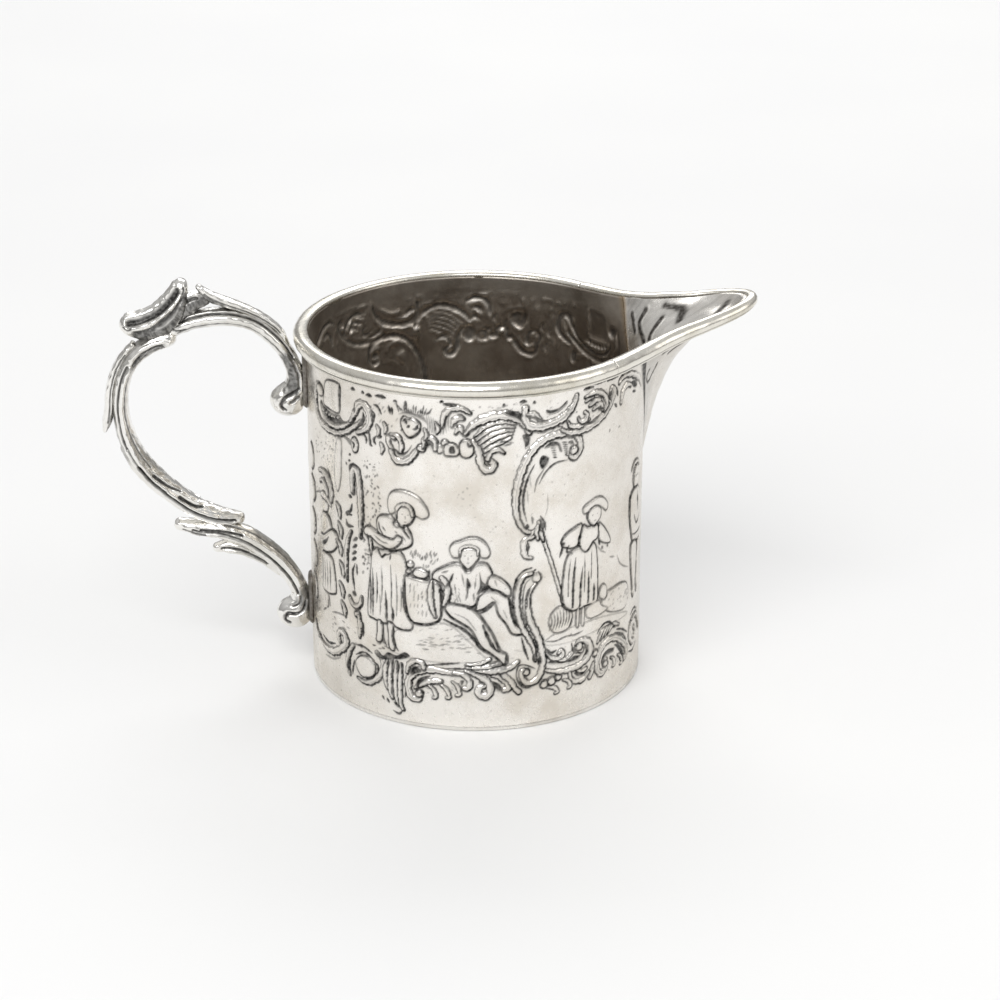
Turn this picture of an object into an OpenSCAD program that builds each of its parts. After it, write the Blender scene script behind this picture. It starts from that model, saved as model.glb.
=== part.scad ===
// Small silver cream jug: a straight-sided body with a V-shaped pouring spout let
// into the wall, a moulded wire soldered round the rim and lip, and a cast scroll
// handle opposite the spout. Origin: centre of the flat underside. +Z is up and
// +X points towards the spout.

/* [Body] */
// Outside diameter of the body wall
body_d = 60; // [45:1:80]
// Height of the body to the top of the rim wire
body_h = 65.3; // [50:0.1:90]
// Thickness of the body wall
wall_t = 0.6; // [0.5:0.1:1.2]
// Thickness of the base disc
base_t = 0.8; // [0.5:0.1:1.5]

/* [Rim wire] */
// Height of the rim wire section
wire_h = 2.7; // [1.8:0.1:3.2]
// How far the rim wire stands out from the wall
wire_out = 2.1; // [1.4:0.1:3]
// How far the rim wire stands above the top edge of the sheet
wire_cover = 0.8; // [0.4:0.1:1.2]
// Size of the wire section at the tip of the spout, as a share of its size on the body
wire_tip_share = 0.72; // [0.5:0.01:1]

/* [Spout] */
// Distance from the body wall to the tip of the sheet spout
spout_reach = 18.8; // [12:0.2:25]
// Height of the spout's lowest point
spout_foot_z = 39; // [30:1:44]
// How far the tip of the lip rises above the rim
lip_rise = 4.7; // [0:0.1:8]
// Half of the angle that the spout takes out of the body wall
notch_half_angle = 30; // [24:1:40]
// Width of the flat foot of the notch
notch_foot_w = 1.6; // [1:0.1:3]

/* [Handle] */
// Distance from the body wall to the outermost point of the handle's main scroll
handle_reach = 36; // [28:1:44]
// Width of the cast scrolls, as a share of the standard casting
scroll_w = 1; // [0.8:0.01:1.25]
// Thickness of the soldering pads between the handle and the wall
pad_t = 0.7; // [0.4:0.1:1.2]
// Width of the soldering pads
pad_w = 4.8; // [3:0.1:7]
// Gap that the solder fills between two castings
solder_gap = 0.03; // [0.01:0.01:0.1]

/* [Hidden] */
$fn = 240;

body_r = body_d / 2;
bore_r = body_r - wall_t;
sheet_top_z = body_h - wire_cover;
notch_half_y = body_r * sin(notch_half_angle);

// ---------------------------------------------------------------- curves

// Point on a cubic curve with the control points a, b, c and d.
function cubic(a, b, c, d, t) =
    a * pow(1 - t, 3) + b * 3 * t * pow(1 - t, 2) + c * 3 * t * t * (1 - t) + d * pow(t, 3);

// Point between b and c on the smooth curve through a, b, c and d.
function between(a, b, c, d, t) =
    (b * 2 + (c - a) * t + (a * 2 - b * 5 + c * 4 - d) * t * t + (b * 3 - a - c * 3 + d) * pow(t, 3)) / 2;

function clamped(list, i) = list[max(0, min(len(list) - 1, i))];
function reversed(list) = [for (i = [len(list) - 1 : -1 : 0]) list[i]];

// Smooth curve through a list of points, with a number of steps between two of them.
function smooth(points, steps) = [
    for (i = [0 : len(points) - 2])
        for (k = [0 : steps - (i == len(points) - 2 ? 0 : 1)])
            between(clamped(points, i - 1), points[i], points[i + 1], clamped(points, i + 2), k / steps)
];

// Closed skin over rings that all have the same number of points.
module skin(rings) {
    n = len(rings[0]);
    last = len(rings) - 1;
    polyhedron(
        [for (r = rings) each r],
        concat(
            [[for (k = [0 : n - 1]) k]],
            [for (i = [0 : last - 1]) for (k = [0 : n - 1])
                [i * n + k, (i + 1) * n + k, (i + 1) * n + (k + 1) % n, i * n + (k + 1) % n]],
            [[for (k = [n - 1 : -1 : 0]) last * n + k]]
        ),
        convexity = 8
    );
}

// Quads of a grid of rows x n points that starts at a point number. turned = 1 turns
// the quads over.
function grid_faces(rows, n, start, turned) = [
    for (i = [0 : rows - 2]) for (k = [0 : n - 2])
        let (a = start + i * n + k, b = a + 1, c = b + n, d = a + n)
        turned == 1 ? [a, b, c, d] : [d, c, b, a]
];

// Quads between the same stretch of points of two grids that are gap numbers apart.
function edge_faces(ids, gap) = [
    for (k = [0 : len(ids) - 2]) [ids[k], ids[k + 1], ids[k + 1] + gap, ids[k] + gap]
];

// Sheet of metal between an outer and an inner grid of points.
module sheet(outer, inner) {
    rows = len(outer);
    n = len(outer[0]);
    count = rows * n;
    polyhedron(
        concat([for (r = outer) each r], [for (r = inner) each r]),
        concat(
            grid_faces(rows, n, 0, 0),
            grid_faces(rows, n, count, 1),
            edge_faces([for (k = [0 : n - 1]) k], count),
            edge_faces([for (i = [0 : rows - 1]) i * n + n - 1], count),
            edge_faces([for (k = [n - 1 : -1 : 0]) (rows - 1) * n + k], count),
            edge_faces([for (i = [rows - 1 : -1 : 0]) i * n], count)
        ),
        convexity = 8
    );
}

// ---------------------------------------------------------------- spout

// The keel's two controls, as shares of its reach and of its rise.
keel_low_share = [0.08, 0.42];
keel_high_share = [0.34, 0.85];

// The keel's lowest point and its tip, as [x, z].
keel_foot = [body_r, spout_foot_z];
keel_tip = [body_r + spout_reach, sheet_top_z + lip_rise];

function keel_at(share) =
    [body_r + spout_reach * share[0], spout_foot_z + (keel_tip[1] - spout_foot_z) * share[1]];
function keel(v) = cubic(keel_foot, keel_at(keel_low_share), keel_at(keel_high_share), keel_tip, v);

// How far up the spout a level lies, from 0 at its foot to 1 at its lip.
function level(v) = (keel(v)[1] - spout_foot_z) / (keel_tip[1] - spout_foot_z);

notch_rise = sheet_top_z - spout_foot_z;
notch_foot_share = notch_foot_w / 2 / notch_half_y;
notch_foot_z = spout_foot_z + notch_rise * notch_foot_share;
spout_steps = 16;
flank_steps = 12;

// Lowest level of the spout, where it is as wide as the notch's foot.
function foot_level(lo = 0, hi = 1, n = 24) =
    n == 0 ? lo : level((lo + hi) / 2) < notch_foot_share
        ? foot_level((lo + hi) / 2, hi, n - 1) : foot_level(lo, (lo + hi) / 2, n - 1);
first_level = foot_level();

// How far behind the keel the sheet's inner side lies, at the same height: more where
// the keel leans out, up to a share of the thickness.
most_lean = 1.7;
function keel_t(v) =
    let (d = keel(min(v + 0.01, 1)) - keel(max(v - 0.01, 0)))
    wall_t * min(most_lean, norm(d) / d[1]);

// The flank's two controls: how far they lie from the notch's edge towards the keel,
// and their share of the edge's distance from the middle.
flank_near = [0.06, 0.84];
flank_far = [0.987, 0.3];
// How slowly the lip starts to rise from the rim towards its tip.
lip_ease = 1.2;

// Point s of the way from the notch's edge to the keel, at a level v, outside or inside.
function flank(v, s, inside) =
    let (share = level(v),
         y0 = notch_half_y * share,
         r = inside ? bore_r : body_r,
         x0 = sqrt(r * r - y0 * y0),
         x1 = keel(v)[0] - (inside ? keel_t(v) : 0),
         rise = lip_rise * max(0, share - notch_foot_share) / (1 - notch_foot_share),
         near = [x0 + (x1 - x0) * flank_near[0], y0 * flank_near[1]],
         far = [x0 + (x1 - x0) * flank_far[0], y0 * flank_far[1]],
         xy = cubic([x0, y0], near, far, [x1, 0], s))
    [xy[0], xy[1], spout_foot_z + notch_rise * share + rise * pow(s, lip_ease)];

// A level's line from one side of the notch to the other.
function flank_line(v, inside) = [
    for (k = [-flank_steps : flank_steps])
        let (p = flank(v, 1 - abs(k) / flank_steps, inside)) [p[0], k < 0 ? -p[1] : p[1], p[2]]
];
levels = [for (i = [0 : spout_steps]) first_level + (1 - first_level) * i / spout_steps];

module spout() {
    color("silver")
    sheet([for (v = levels) flank_line(v, false)], [for (v = levels) flank_line(v, true)]);
}

// The opening that the spout takes out of the wall: a trapezium seen from the spout,
// whose sides go on past the rim to a multiple of its height.
notch_past = 2;
module notch() {
    rotate([90, 0, 90])
    linear_extrude(body_d)
    polygon([
        [-notch_foot_w / 2, notch_foot_z],
        [notch_foot_w / 2, notch_foot_z],
        [notch_half_y * notch_past, spout_foot_z + notch_rise * notch_past],
        [-notch_half_y * notch_past, spout_foot_z + notch_rise * notch_past]
    ]);
}

// ---------------------------------------------------------------- body

module body_wall() {
    color("silver")
    difference() {
        translate([0, 0, base_t]) cylinder(h = sheet_top_z - base_t, r = body_r);
        cylinder(h = body_h, r = bore_r);
        notch();
    }
}

module base_disc() {
    color("silver") cylinder(h = base_t, r = body_r);
}

// The wire's round: where its middle lies and its radius across, as shares of how far
// the wire stands out, its height as a share of the wire's, and the angle it starts at.
round_middle = 0.36;
round_across = 0.64;
round_tall = 0.94;
round_start = 120;
// Height of the wire's bore edge over the sheet, and width of its flat underside, as
// shares of the cover and of how far the wire stands out.
bore_edge = 0.5;
under_flat = 0.3;

// Section of the wire, as [distance outside the sheet's outer side, height above the
// sheet's top edge]. The first two points lie on the sheet's inner side. size is 1 on
// the body and smaller at the tip.
function wire_section(size) =
    let (out = wire_out * size, cover = wire_cover * size, tall = wire_h * size)
    concat(
        [[-wall_t, 0], [-wall_t, cover * bore_edge]],
        [for (a = [round_start : -30 : round_start - 180])
            [out * (round_middle + round_across * cos(a)), cover - tall / 2 * round_tall * (1 - sin(a))]],
        [[out * under_flat, cover - tall], [0, cover - tall], [0, 0]]
    );

// Ring of the rim wire over a point of the sheet's outer and inner edge. dir is the
// level direction that the sheet's outer side faces there.
function wire_ring(outer, inner, dir, size) =
    [for (p = wire_section(size)) p[0] < 0
        ? outer + (inner - outer) * (-p[0] / wall_t) + [0, 0, p[1]]
        : outer + dir * p[0] + [0, 0, p[1]]];

// How slowly the lip's wire starts to get thinner towards its tip.
taper_ease = 1.5;

module rim_wire() {
    color("silver")
    translate([0, 0, sheet_top_z])
    rotate([0, 0, notch_half_angle])
    rotate_extrude(angle = 360 - 2 * notch_half_angle)
    translate([body_r, 0])
    polygon(wire_section(1));
}

// The wire along the spout's lip, butted against the rim wire's two ends.
module lip_wire() {
    outer = flank_line(1, false);
    inner = flank_line(1, true);
    color("silver")
    skin([
        for (k = [0 : len(outer) - 1])
            let (s = 1 - abs(k - flank_steps) / flank_steps,
                 radial = [outer[k][0], outer[k][1], 0] / body_r,
                 run = clamped(outer, k + 1) - clamped(outer, k - 1),
                 facing = [run[1], -run[0], 0] / norm([run[0], run[1]]),
                 size = 1 - (1 - wire_tip_share) * pow(s, taper_ease))
            s == 0 ? wire_ring(outer[k], outer[k] - radial * wall_t, radial, size)
                : wire_ring(outer[k], inner[k], facing, size)
    ]);
}

// ---------------------------------------------------------------- handle

// The handle lies in the XZ plane. Its points are [distance from the wall, height,
// half thickness, half width], for the standard reach, height and pads, and they
// follow the body, the reach and the pads when those change.
standard_reach = 36;
standard_h = 65.3;
standard_pad_t = 0.7;
reach_scale = handle_reach / standard_reach;
height_scale = body_h / standard_h;
function place(p) = [-body_r - pad_t - (p[0] - standard_pad_t) * reach_scale, p[1] * height_scale];

// Castings get thicker with the larger of the two scales, so that they still meet.
casting_scale = max(reach_scale, height_scale);

// From its curl below the main scroll, over the top and down the wall to a ball.
upper_path = [
    [22.9, 65.9, 1.4, 1.8],
    [19.6, 67.3, 1.6, 2.1],
    [16, 67.9, 1.7, 2.2],
    [12.5, 67.8, 1.6, 2.2],
    [9, 66.7, 1.5, 2.2],
    [6, 64.3, 1.5, 2.2],
    [3.6, 61.3, 1.4, 2.2],
    [2.0, 57.6, 1.5, 2.2],
    [2.1, 55, 1.8, 2.3],
    [3.4, 52.1, 3.1, 2.5]
];
// From the ball by the foot of the handle to the leaf tip under the main scroll.
lower_path = [
    [3.3, 10.8, 3.2, 2.5],
    [2.1, 13.8, 1.8, 2.4],
    [3.1, 17.4, 1.6, 2.3],
    [5.4, 20.9, 1.7, 2.3],
    [8.4, 23.9, 1.7, 2.3],
    [12, 26.4, 1.7, 2.3],
    [16, 27.8, 1.6, 2.2],
    [20, 28.4, 1.2, 2.0],
    [23.8, 29.1, 0.8, 1.5]
];
// From the tip by the lower scroll to the curl under the thumb scroll.
main_path = [
    [12.8, 29.8, 1.1, 1.6],
    [16.2, 30.4, 1.5, 2.1],
    [20.4, 32.1, 1.6, 2.2],
    [24.3, 35.1, 1.7, 2.3],
    [27.6, 38.2, 1.8, 2.4],
    [30.4, 41.8, 1.8, 2.4],
    [32.2, 45.8, 1.7, 2.4],
    [33, 49.6, 1.5, 2.4],
    [33.1, 53.4, 1.5, 2.4],
    [32.2, 57.8, 1.5, 2.4],
    [30.1, 61.2, 1.6, 2.4],
    [27.2, 63.3, 1.7, 2.3],
    [24.1, 64.4, 1.6, 2.1]
];
thumb_path = [
    [31, 67, 1.6, 2.2],
    [28.4, 67.2, 1.9, 2.6],
    [25.4, 68.3, 2.1, 2.8],
    [22.9, 70.6, 2.1, 2.6],
    [21.5, 73.8, 1.3, 1.9]
];

// Straight joints where the castings are filed flat and soldered: two points of the
// joint's line. The first casting named keeps the side on the line's left.
upper_to_main = [[22.9, 62], [23.3, 69]];
thumb_to_main = [[33, 62.6], [24.2, 65.4]];
thumb_to_upper = [[24.2, 65.7], [18.6, 69]];
main_to_lower = [[25, 29.9], [11, 28.7]];

// Where a strand begins and ends on its scroll, as numbers of the scroll's points,
// and its shape along the way: [share of the way, lift, thickness, half width].
upper_rib = [1.5, 6.5];
upper_rib_shape = [
    [0, 4.6, 1.0, 0.9], [0.1, 1.4, 1.3, 1.1], [0.25, 0.2, 1.4, 1.3], [0.4, 0, 1.3, 1.3], [1, 0, 0.9, 1.2]
];
back_leaf = [6.5, 10.25];
back_leaf_shape = [[0, 2.1, 1.0, 0.9], [0.12, 0.5, 1.5, 1.2], [0.25, 0, 1.7, 1.35], [1, 0, 0.9, 1.2]];
lower_leaf = [2.5, 6];
lower_leaf_shape = [[0, 0, 0.5, 0.9], [0.3, 0, 1.2, 1.2], [0.65, 0.1, 1.6, 1.3], [1, 2.2, 1.1, 0.9]];

// Share of the half thickness at which a scroll's outer side is flat under a strand.
flat_share = 0.75;
scroll_steps = 4;
ring_points = 14;

// Points of a scroll in the handle's plane with their thickness and width.
function scroll_line(path) = [
    for (p = smooth(path, scroll_steps))
        concat(place(p), [p[2] * casting_scale, p[3] * casting_scale * scroll_w])
];
function scroll_dir(line, i) =
    let (d = clamped(line, i + 1) - clamped(line, i - 1)) [d[0], d[1]] / norm([d[0], d[1]]);
function left_of(dir) = [-dir[1], dir[0]];

// A point of a section: out from the path in the handle's plane, and across.
function section_point(at, dir, out, across) =
    [at[0] + left_of(dir)[0] * out, across, at[1] + left_of(dir)[1] * out];

// Ring round a point of the path. Its outer side is flat from a share of the half
// thickness on, and its inner side is a number of times as deep.
function oval_ring(at, dir, half_t, half_w, flat, deep = 1) = [
    for (k = [0 : ring_points - 1])
        let (a = 360 * (k + 0.5) / ring_points)
        section_point(at, dir, half_t * min(flat, cos(a)) * (cos(a) < 0 ? deep : 1), half_w * sin(a))
];

// Round end of a scroll: distance beyond it and share of its size.
caps = [[0.95, 0.3], [0.75, 0.66], [0.4, 0.92]];
function cap_ring(at, dir, way, cap) =
    oval_ring([at[0] + dir[0] * way * at[2] * cap[0], at[1] + dir[1] * way * at[2] * cap[0]],
        dir, at[2] * cap[1], at[3] * cap[1], 1);

// Rings of a scroll. deep gives [share of the way, depth of the inner side].
function scroll_rings(line, flat, deep = [[0, 1]]) = let (n = len(line) - 1) concat(
    [for (c = caps) cap_ring(line[0], scroll_dir(line, 0), -1, c)],
    [for (i = [0 : n])
        oval_ring(line[i], scroll_dir(line, i), line[i][2], line[i][3], flat, lookup(i / n, deep))],
    [for (c = reversed(caps)) cap_ring(line[n], scroll_dir(line, n), 1, c)]
);

// Strand that lies on the flat of a scroll and lifts off it at one end. Its two ends
// are a share of its size.
strand_points = 9;
strand_end = 0.4;
function shape_at(shape, share, column) =
    casting_scale * lookup(share, [for (p = shape) [p[0], p[column]]]);
function strand_ring(line, i, share, shape, size) =
    let (base = line[i][2] * flat_share + solder_gap + shape_at(shape, share, 1),
         t = shape_at(shape, share, 2) * size,
         w = shape_at(shape, share, 3) * scroll_w * size)
    [for (k = [0 : strand_points - 1])
        let (a = 90 - 180 * k / (strand_points - 1))
        section_point(line[i], scroll_dir(line, i), base + t * cos(a), w * sin(a))];
function strand_rings(line, span, shape) =
    let (first = round(span[0] * scroll_steps), last = round(span[1] * scroll_steps))
    [for (i = [first : last])
        let (size = i == first || i == last ? strand_end : 1)
        strand_ring(line, i, (i - first) / (last - first), shape, size)];

// Files rings flat against a joint: points over its line, within its reach past both
// ends, are moved back onto it.
joint_reach = 3;
function on_side(p, line, way) =
    let (a = place(line[0]),
         b = place(line[1]),
         along = (b - a) / norm(b - a),
         normal = left_of(along) * way,
         from_a = [p[0], p[2]] - a,
         run = from_a * along,
         over = solder_gap / 2 - from_a * normal)
    over > 0 && run > -joint_reach && run < norm(b - a) + joint_reach
        ? p + over * [normal[0], 0, normal[1]] : p;
function filed(rings, line, way) = [for (r = rings) [for (p = r) on_side(p, line, way)]];

// Keeps a scroll clear of the rim wire and flat on its pad.
under_wire = 1;
function off_wall(rings) = [
    for (r = rings) [for (p = r)
        let (room = p[2] > body_h - wire_h - under_wire ? wire_out : pad_t)
        [min(p[0], -body_r - room - solder_gap), p[1], p[2]]]
];

upper_line = scroll_line(upper_path);
lower_line = scroll_line(lower_path);
main_line = scroll_line(main_path);
thumb_line = scroll_line(thumb_path);

module handle_upper_scroll() {
    color("silver")
    skin(off_wall(filed(filed(scroll_rings(upper_line, flat_share), upper_to_main, -1),
        thumb_to_upper, -1)));
}

module handle_upper_rib() {
    color("lightgray")
    skin(off_wall(strand_rings(upper_line, upper_rib, upper_rib_shape)));
}

module handle_main_scroll() {
    color("silver")
    skin(filed(filed(filed(scroll_rings(main_line, flat_share), upper_to_main, 1), thumb_to_main, -1),
        main_to_lower, 1));
}

module handle_back_leaf() {
    color("lightgray")
    skin(filed(strand_rings(main_line, back_leaf, back_leaf_shape), thumb_to_main, -1));
}

module handle_lower_scroll() {
    color("silver")
    skin(off_wall(filed(scroll_rings(lower_line, flat_share), main_to_lower, -1)));
}

module handle_lower_leaf() {
    color("lightgray")
    skin(strand_rings(lower_line, lower_leaf, lower_leaf_shape));
}

// The thumb scroll's foot reaches down to the two scrolls that it stands on.
thumb_foot = [[0, 1], [0.15, 1.5], [0.25, 1.85], [0.5, 1.8], [0.75, 1.3], [1, 1]];

module thumb_scroll() {
    color("silver")
    skin(filed(filed(scroll_rings(thumb_line, 1, thumb_foot), thumb_to_main, 1), thumb_to_upper, 1));
}

// Heights of the two pads' edges, for the standard height.
upper_pad_z = [50.6, 62];
lower_pad_z = [8.6, 18.6];

// Block between two heights, with one face on the wall and a flat one for the casting.
module pad(low, high) {
    difference() {
        translate([-body_r - pad_t, -pad_w / 2, low]) cube([pad_t * 2, pad_w, high - low]);
        cylinder(h = body_h, r = body_r);
    }
}

module upper_pad() {
    color("dimgray")
    pad(upper_pad_z[0] * height_scale, min(upper_pad_z[1] * height_scale, body_h - wire_h - solder_gap));
}

module lower_pad() {
    color("dimgray") pad(lower_pad_z[0] * height_scale, lower_pad_z[1] * height_scale);
}

body_wall();
base_disc();
rim_wire();
spout();
lip_wire();
upper_pad();
lower_pad();
handle_upper_scroll();
handle_upper_rib();
thumb_scroll();
handle_main_scroll();
handle_back_leaf();
handle_lower_scroll();
handle_lower_leaf();
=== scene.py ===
import bpy
import math
import numpy as np
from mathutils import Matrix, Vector


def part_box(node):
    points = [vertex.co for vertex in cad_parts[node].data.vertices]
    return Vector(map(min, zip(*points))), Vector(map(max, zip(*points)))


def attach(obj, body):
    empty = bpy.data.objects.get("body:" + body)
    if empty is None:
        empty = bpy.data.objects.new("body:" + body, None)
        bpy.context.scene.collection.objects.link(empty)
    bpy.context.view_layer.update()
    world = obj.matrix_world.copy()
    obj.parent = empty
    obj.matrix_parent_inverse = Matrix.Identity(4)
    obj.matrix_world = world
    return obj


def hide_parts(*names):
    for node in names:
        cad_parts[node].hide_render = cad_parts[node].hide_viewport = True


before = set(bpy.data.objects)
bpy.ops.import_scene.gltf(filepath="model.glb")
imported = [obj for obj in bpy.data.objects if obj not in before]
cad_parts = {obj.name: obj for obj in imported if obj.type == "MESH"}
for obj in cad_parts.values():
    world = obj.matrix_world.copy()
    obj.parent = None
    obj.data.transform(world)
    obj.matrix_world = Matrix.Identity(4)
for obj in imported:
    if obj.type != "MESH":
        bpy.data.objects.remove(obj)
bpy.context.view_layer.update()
rng = np.random.default_rng(7)

# ------------------------------------------------------------ sizes, in millimetres
MM = 0.001
def size(node, axis, side):
    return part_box(node)[side][axis] / MM
R = size("base_disc", 0, 1)
SHEET_TOP = size("body_wall", 2, 1)
BASE_TOP = size("base_disc", 2, 1)
WALL = 0.6
FOOT_Z = 39.0
TIP_X = size("spout", 0, 1)
TIP_RISE = size("spout", 2, 1) - SHEET_TOP - 0.1

# ------------------------------------------------------------ camera, floor, light
cam_data = bpy.data.cameras.new("camera")
cam_data.lens = 98.75
cam_data.sensor_width = 36
cam = bpy.data.objects.new("camera", cam_data)
bpy.context.scene.collection.objects.link(cam)
target = Vector((0.00441, -0.00039, 0.03156))
elev, azim = math.radians(22.38), math.radians(-5)
away = Vector((math.sin(azim) * math.cos(elev), -math.cos(azim) * math.cos(elev), math.sin(elev)))
cam.location = target + away * 0.497
cam.rotation_euler = (-away).to_track_quat("-Z", "Y").to_euler()
bpy.context.scene.camera = cam
bpy.context.scene.view_settings.view_transform = "Standard"


def node_tree(mat):
    mat.use_nodes = True
    t = mat.node_tree
    return t, t.nodes["Principled BSDF"]


def new(t, kind, **values):
    n = t.nodes.new(kind)
    for k, v in values.items():
        if k in n.inputs:
            n.inputs[k].default_value = v
        else:
            setattr(n, k, v)
    return n


def noise(t, scale, detail=3, rough=0.6):
    co = new(t, "ShaderNodeTexCoord")
    n = new(t, "ShaderNodeTexNoise", Scale=scale, Detail=detail, Roughness=rough)
    t.links.new(co.outputs["Object"], n.inputs["Vector"])
    return n.outputs["Fac"]


def ramp(t, source, a, b, lo=0.0, hi=1.0):
    n = new(t, "ShaderNodeMapRange", interpolation_type="SMOOTHSTEP")
    n.inputs["From Min"].default_value = a
    n.inputs["From Max"].default_value = b
    n.inputs["To Min"].default_value = lo
    n.inputs["To Max"].default_value = hi
    t.links.new(source, n.inputs["Value"])
    return n.outputs["Result"]


def math_node(t, op, a, b):
    n = new(t, "ShaderNodeMath", operation=op)
    for i, v in enumerate((a, b)):
        if isinstance(v, (int, float)):
            n.inputs[i].default_value = v
        else:
            t.links.new(v, n.inputs[i])
    return n.outputs[0]


def mix(t, fac, a, b):
    n = new(t, "ShaderNodeMix", data_type="RGBA")
    for i, v in ((0, fac), (6, a), (7, b)):
        if isinstance(v, tuple):
            n.inputs[i].default_value = (*v, 1)
        elif isinstance(v, float):
            n.inputs[i].default_value = v
        else:
            t.links.new(v, n.inputs[i])
    return n.outputs[2]


def silver(name, colour, tint, black, rough, rough_dark, grain=1.0, brushed=0.0):
    """Silver with black oxide and painted shade where the mesh says so, painted shade on the sides, tarnish,
    specks and fine scratches.
    """
    mat = bpy.data.materials.new(name)
    t, p = node_tree(mat)
    p.inputs["Metallic"].default_value = 1.0
    oxide_and_shade = new(t, "ShaderNodeAttribute", attribute_name="oxide_and_shade").outputs["Fac"]
    cloud = noise(t, 90, 4)
    fine = noise(t, 1400, 5, 0.7)
    speck = noise(t, 2600, 2, 0.5)
    tarnish = ramp(t, cloud, 0.42, 0.72)
    # Where this value is high the colour turns black: black oxide in lines and hollows, together with the
    # painted shade that the meshes put into the same value, broken up by fine noise.
    oxide_and_shade_black = math_node(t, "MULTIPLY", oxide_and_shade, ramp(t, fine, 0.25, 0.62, 0.72, 1.0))
    spots = ramp(t, speck, 0.70, 0.78, 0.0, 0.35)
    base = mix(t, tarnish, colour, tint)
    # Painted shade: the sides that turn away from the camera and the light are darkened towards a dimmer copy
    # of the tint, broken up by noise.
    side_shade = new(t, "ShaderNodeAttribute", attribute_name="side_shade").outputs["Fac"]
    side_shaded = math_node(t, "MULTIPLY", side_shade, ramp(t, noise(t, 160, 5, 0.7), 0.3, 0.7, 0.6, 1.0))
    base = mix(t, side_shaded, base, tuple(c * k for c, k in zip(tint, (0.74, 0.73, 0.71))))
    base = mix(t, spots, base, tuple(c * 0.45 for c in tint))
    inner = new(t, "ShaderNodeAttribute", attribute_name="inside").outputs["Fac"]
    smoke = ramp(t, noise(t, 60, 4, 0.7), 0.35, 0.68)
    base = mix(t, inner, base, mix(t, smoke, (0.40, 0.345, 0.29), (0.66, 0.61, 0.54)))
    base = mix(t, oxide_and_shade_black, base, black)
    solder = new(t, "ShaderNodeAttribute", attribute_name="solder").outputs["Fac"]
    base = mix(t, solder, base, (0.42, 0.30, 0.17))
    t.links.new(base, p.inputs["Base Color"])
    r = math_node(t, "ADD", ramp(t, fine, 0.3, 0.7, rough * 0.85, rough * 1.2),
                  math_node(t, "MULTIPLY", oxide_and_shade, rough_dark - rough))
    r = math_node(t, "ADD", r, ramp(t, cloud, 0.35, 0.75, -0.02, 0.06))
    r = math_node(t, "ADD", r, math_node(t, "MULTIPLY", inner, 0.12))
    t.links.new(r, p.inputs["Roughness"])
    bump = new(t, "ShaderNodeBump", Strength=0.22 * grain, Distance=0.00006)
    scratch_co = new(t, "ShaderNodeTexCoord")
    scratch_map = new(t, "ShaderNodeMapping")
    scratch_map.inputs["Scale"].default_value = (9000, 9000, 500) if brushed else (700, 5200, 5200)
    t.links.new(scratch_co.outputs["Object"], scratch_map.inputs["Vector"])
    scratch = new(t, "ShaderNodeTexNoise", Scale=0.35, Detail=4)
    t.links.new(scratch_map.outputs["Vector"], scratch.inputs["Vector"])
    t.links.new(math_node(t, "ADD", math_node(t, "MULTIPLY", scratch.outputs["Fac"], 0.6), fine),
                bump.inputs["Height"])
    t.links.new(bump.outputs["Normal"], p.inputs["Normal"])
    return mat, t, p


def plain_floor():
    mat = bpy.data.materials.new("floor_paper")
    t, p = node_tree(mat)
    t.links.new(mix(t, ramp(t, noise(t, 6, 2), 0.3, 0.7), (0.86, 0.86, 0.86), (0.88, 0.88, 0.875)),
                p.inputs["Base Color"])
    p.inputs["Roughness"].default_value = 0.9
    me = bpy.data.meshes.new("floor")
    s = 3.0
    me.from_pydata([(-s, -s, 0), (s, -s, 0), (s, s, 0), (-s, s, 0)], [], [(0, 1, 2, 3)])
    ob = bpy.data.objects.new("floor", me)
    bpy.context.scene.collection.objects.link(ob)
    me.materials.append(mat)


plain_floor()

world = bpy.data.worlds.new("studio")
bpy.context.scene.world = world
world.use_nodes = True
wt = world.node_tree
bg = wt.nodes["Background"]
w_co = new(wt, "ShaderNodeTexCoord")
w_sep = new(wt, "ShaderNodeSeparateXYZ")
wt.links.new(w_co.outputs["Generated"], w_sep.inputs[0])
sky = ramp(wt, w_sep.outputs["Z"], -0.1, 0.75, 0.0, 1.0)
wt.links.new(mix(wt, sky, (0.42, 0.415, 0.41), (1.0, 1.0, 1.0)), bg.inputs["Color"])
bg.inputs["Strength"].default_value = 0.6


def area(name, at, size_x, size_y, power, colour=(1, 1, 1)):
    d = bpy.data.lights.new(name, "AREA")
    d.shape = "RECTANGLE"
    d.size, d.size_y, d.energy, d.color = size_x, size_y, power, colour
    o = bpy.data.objects.new(name, d)
    o.location = at
    o.rotation_euler = (target - Vector(at)).to_track_quat("-Z", "Y").to_euler()
    bpy.context.scene.collection.objects.link(o)


area("key", (-0.3, -0.7, 0.8), 0.8, 0.6, 6.2)
area("right", (0.8, -0.3, 0.5), 0.5, 0.6, 1.3, (1, 0.98, 0.95))
area("back", (0.1, 0.8, 0.7), 0.9, 0.5, 3.6)

# ------------------------------------------------------------ pieces
made = {}


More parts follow.
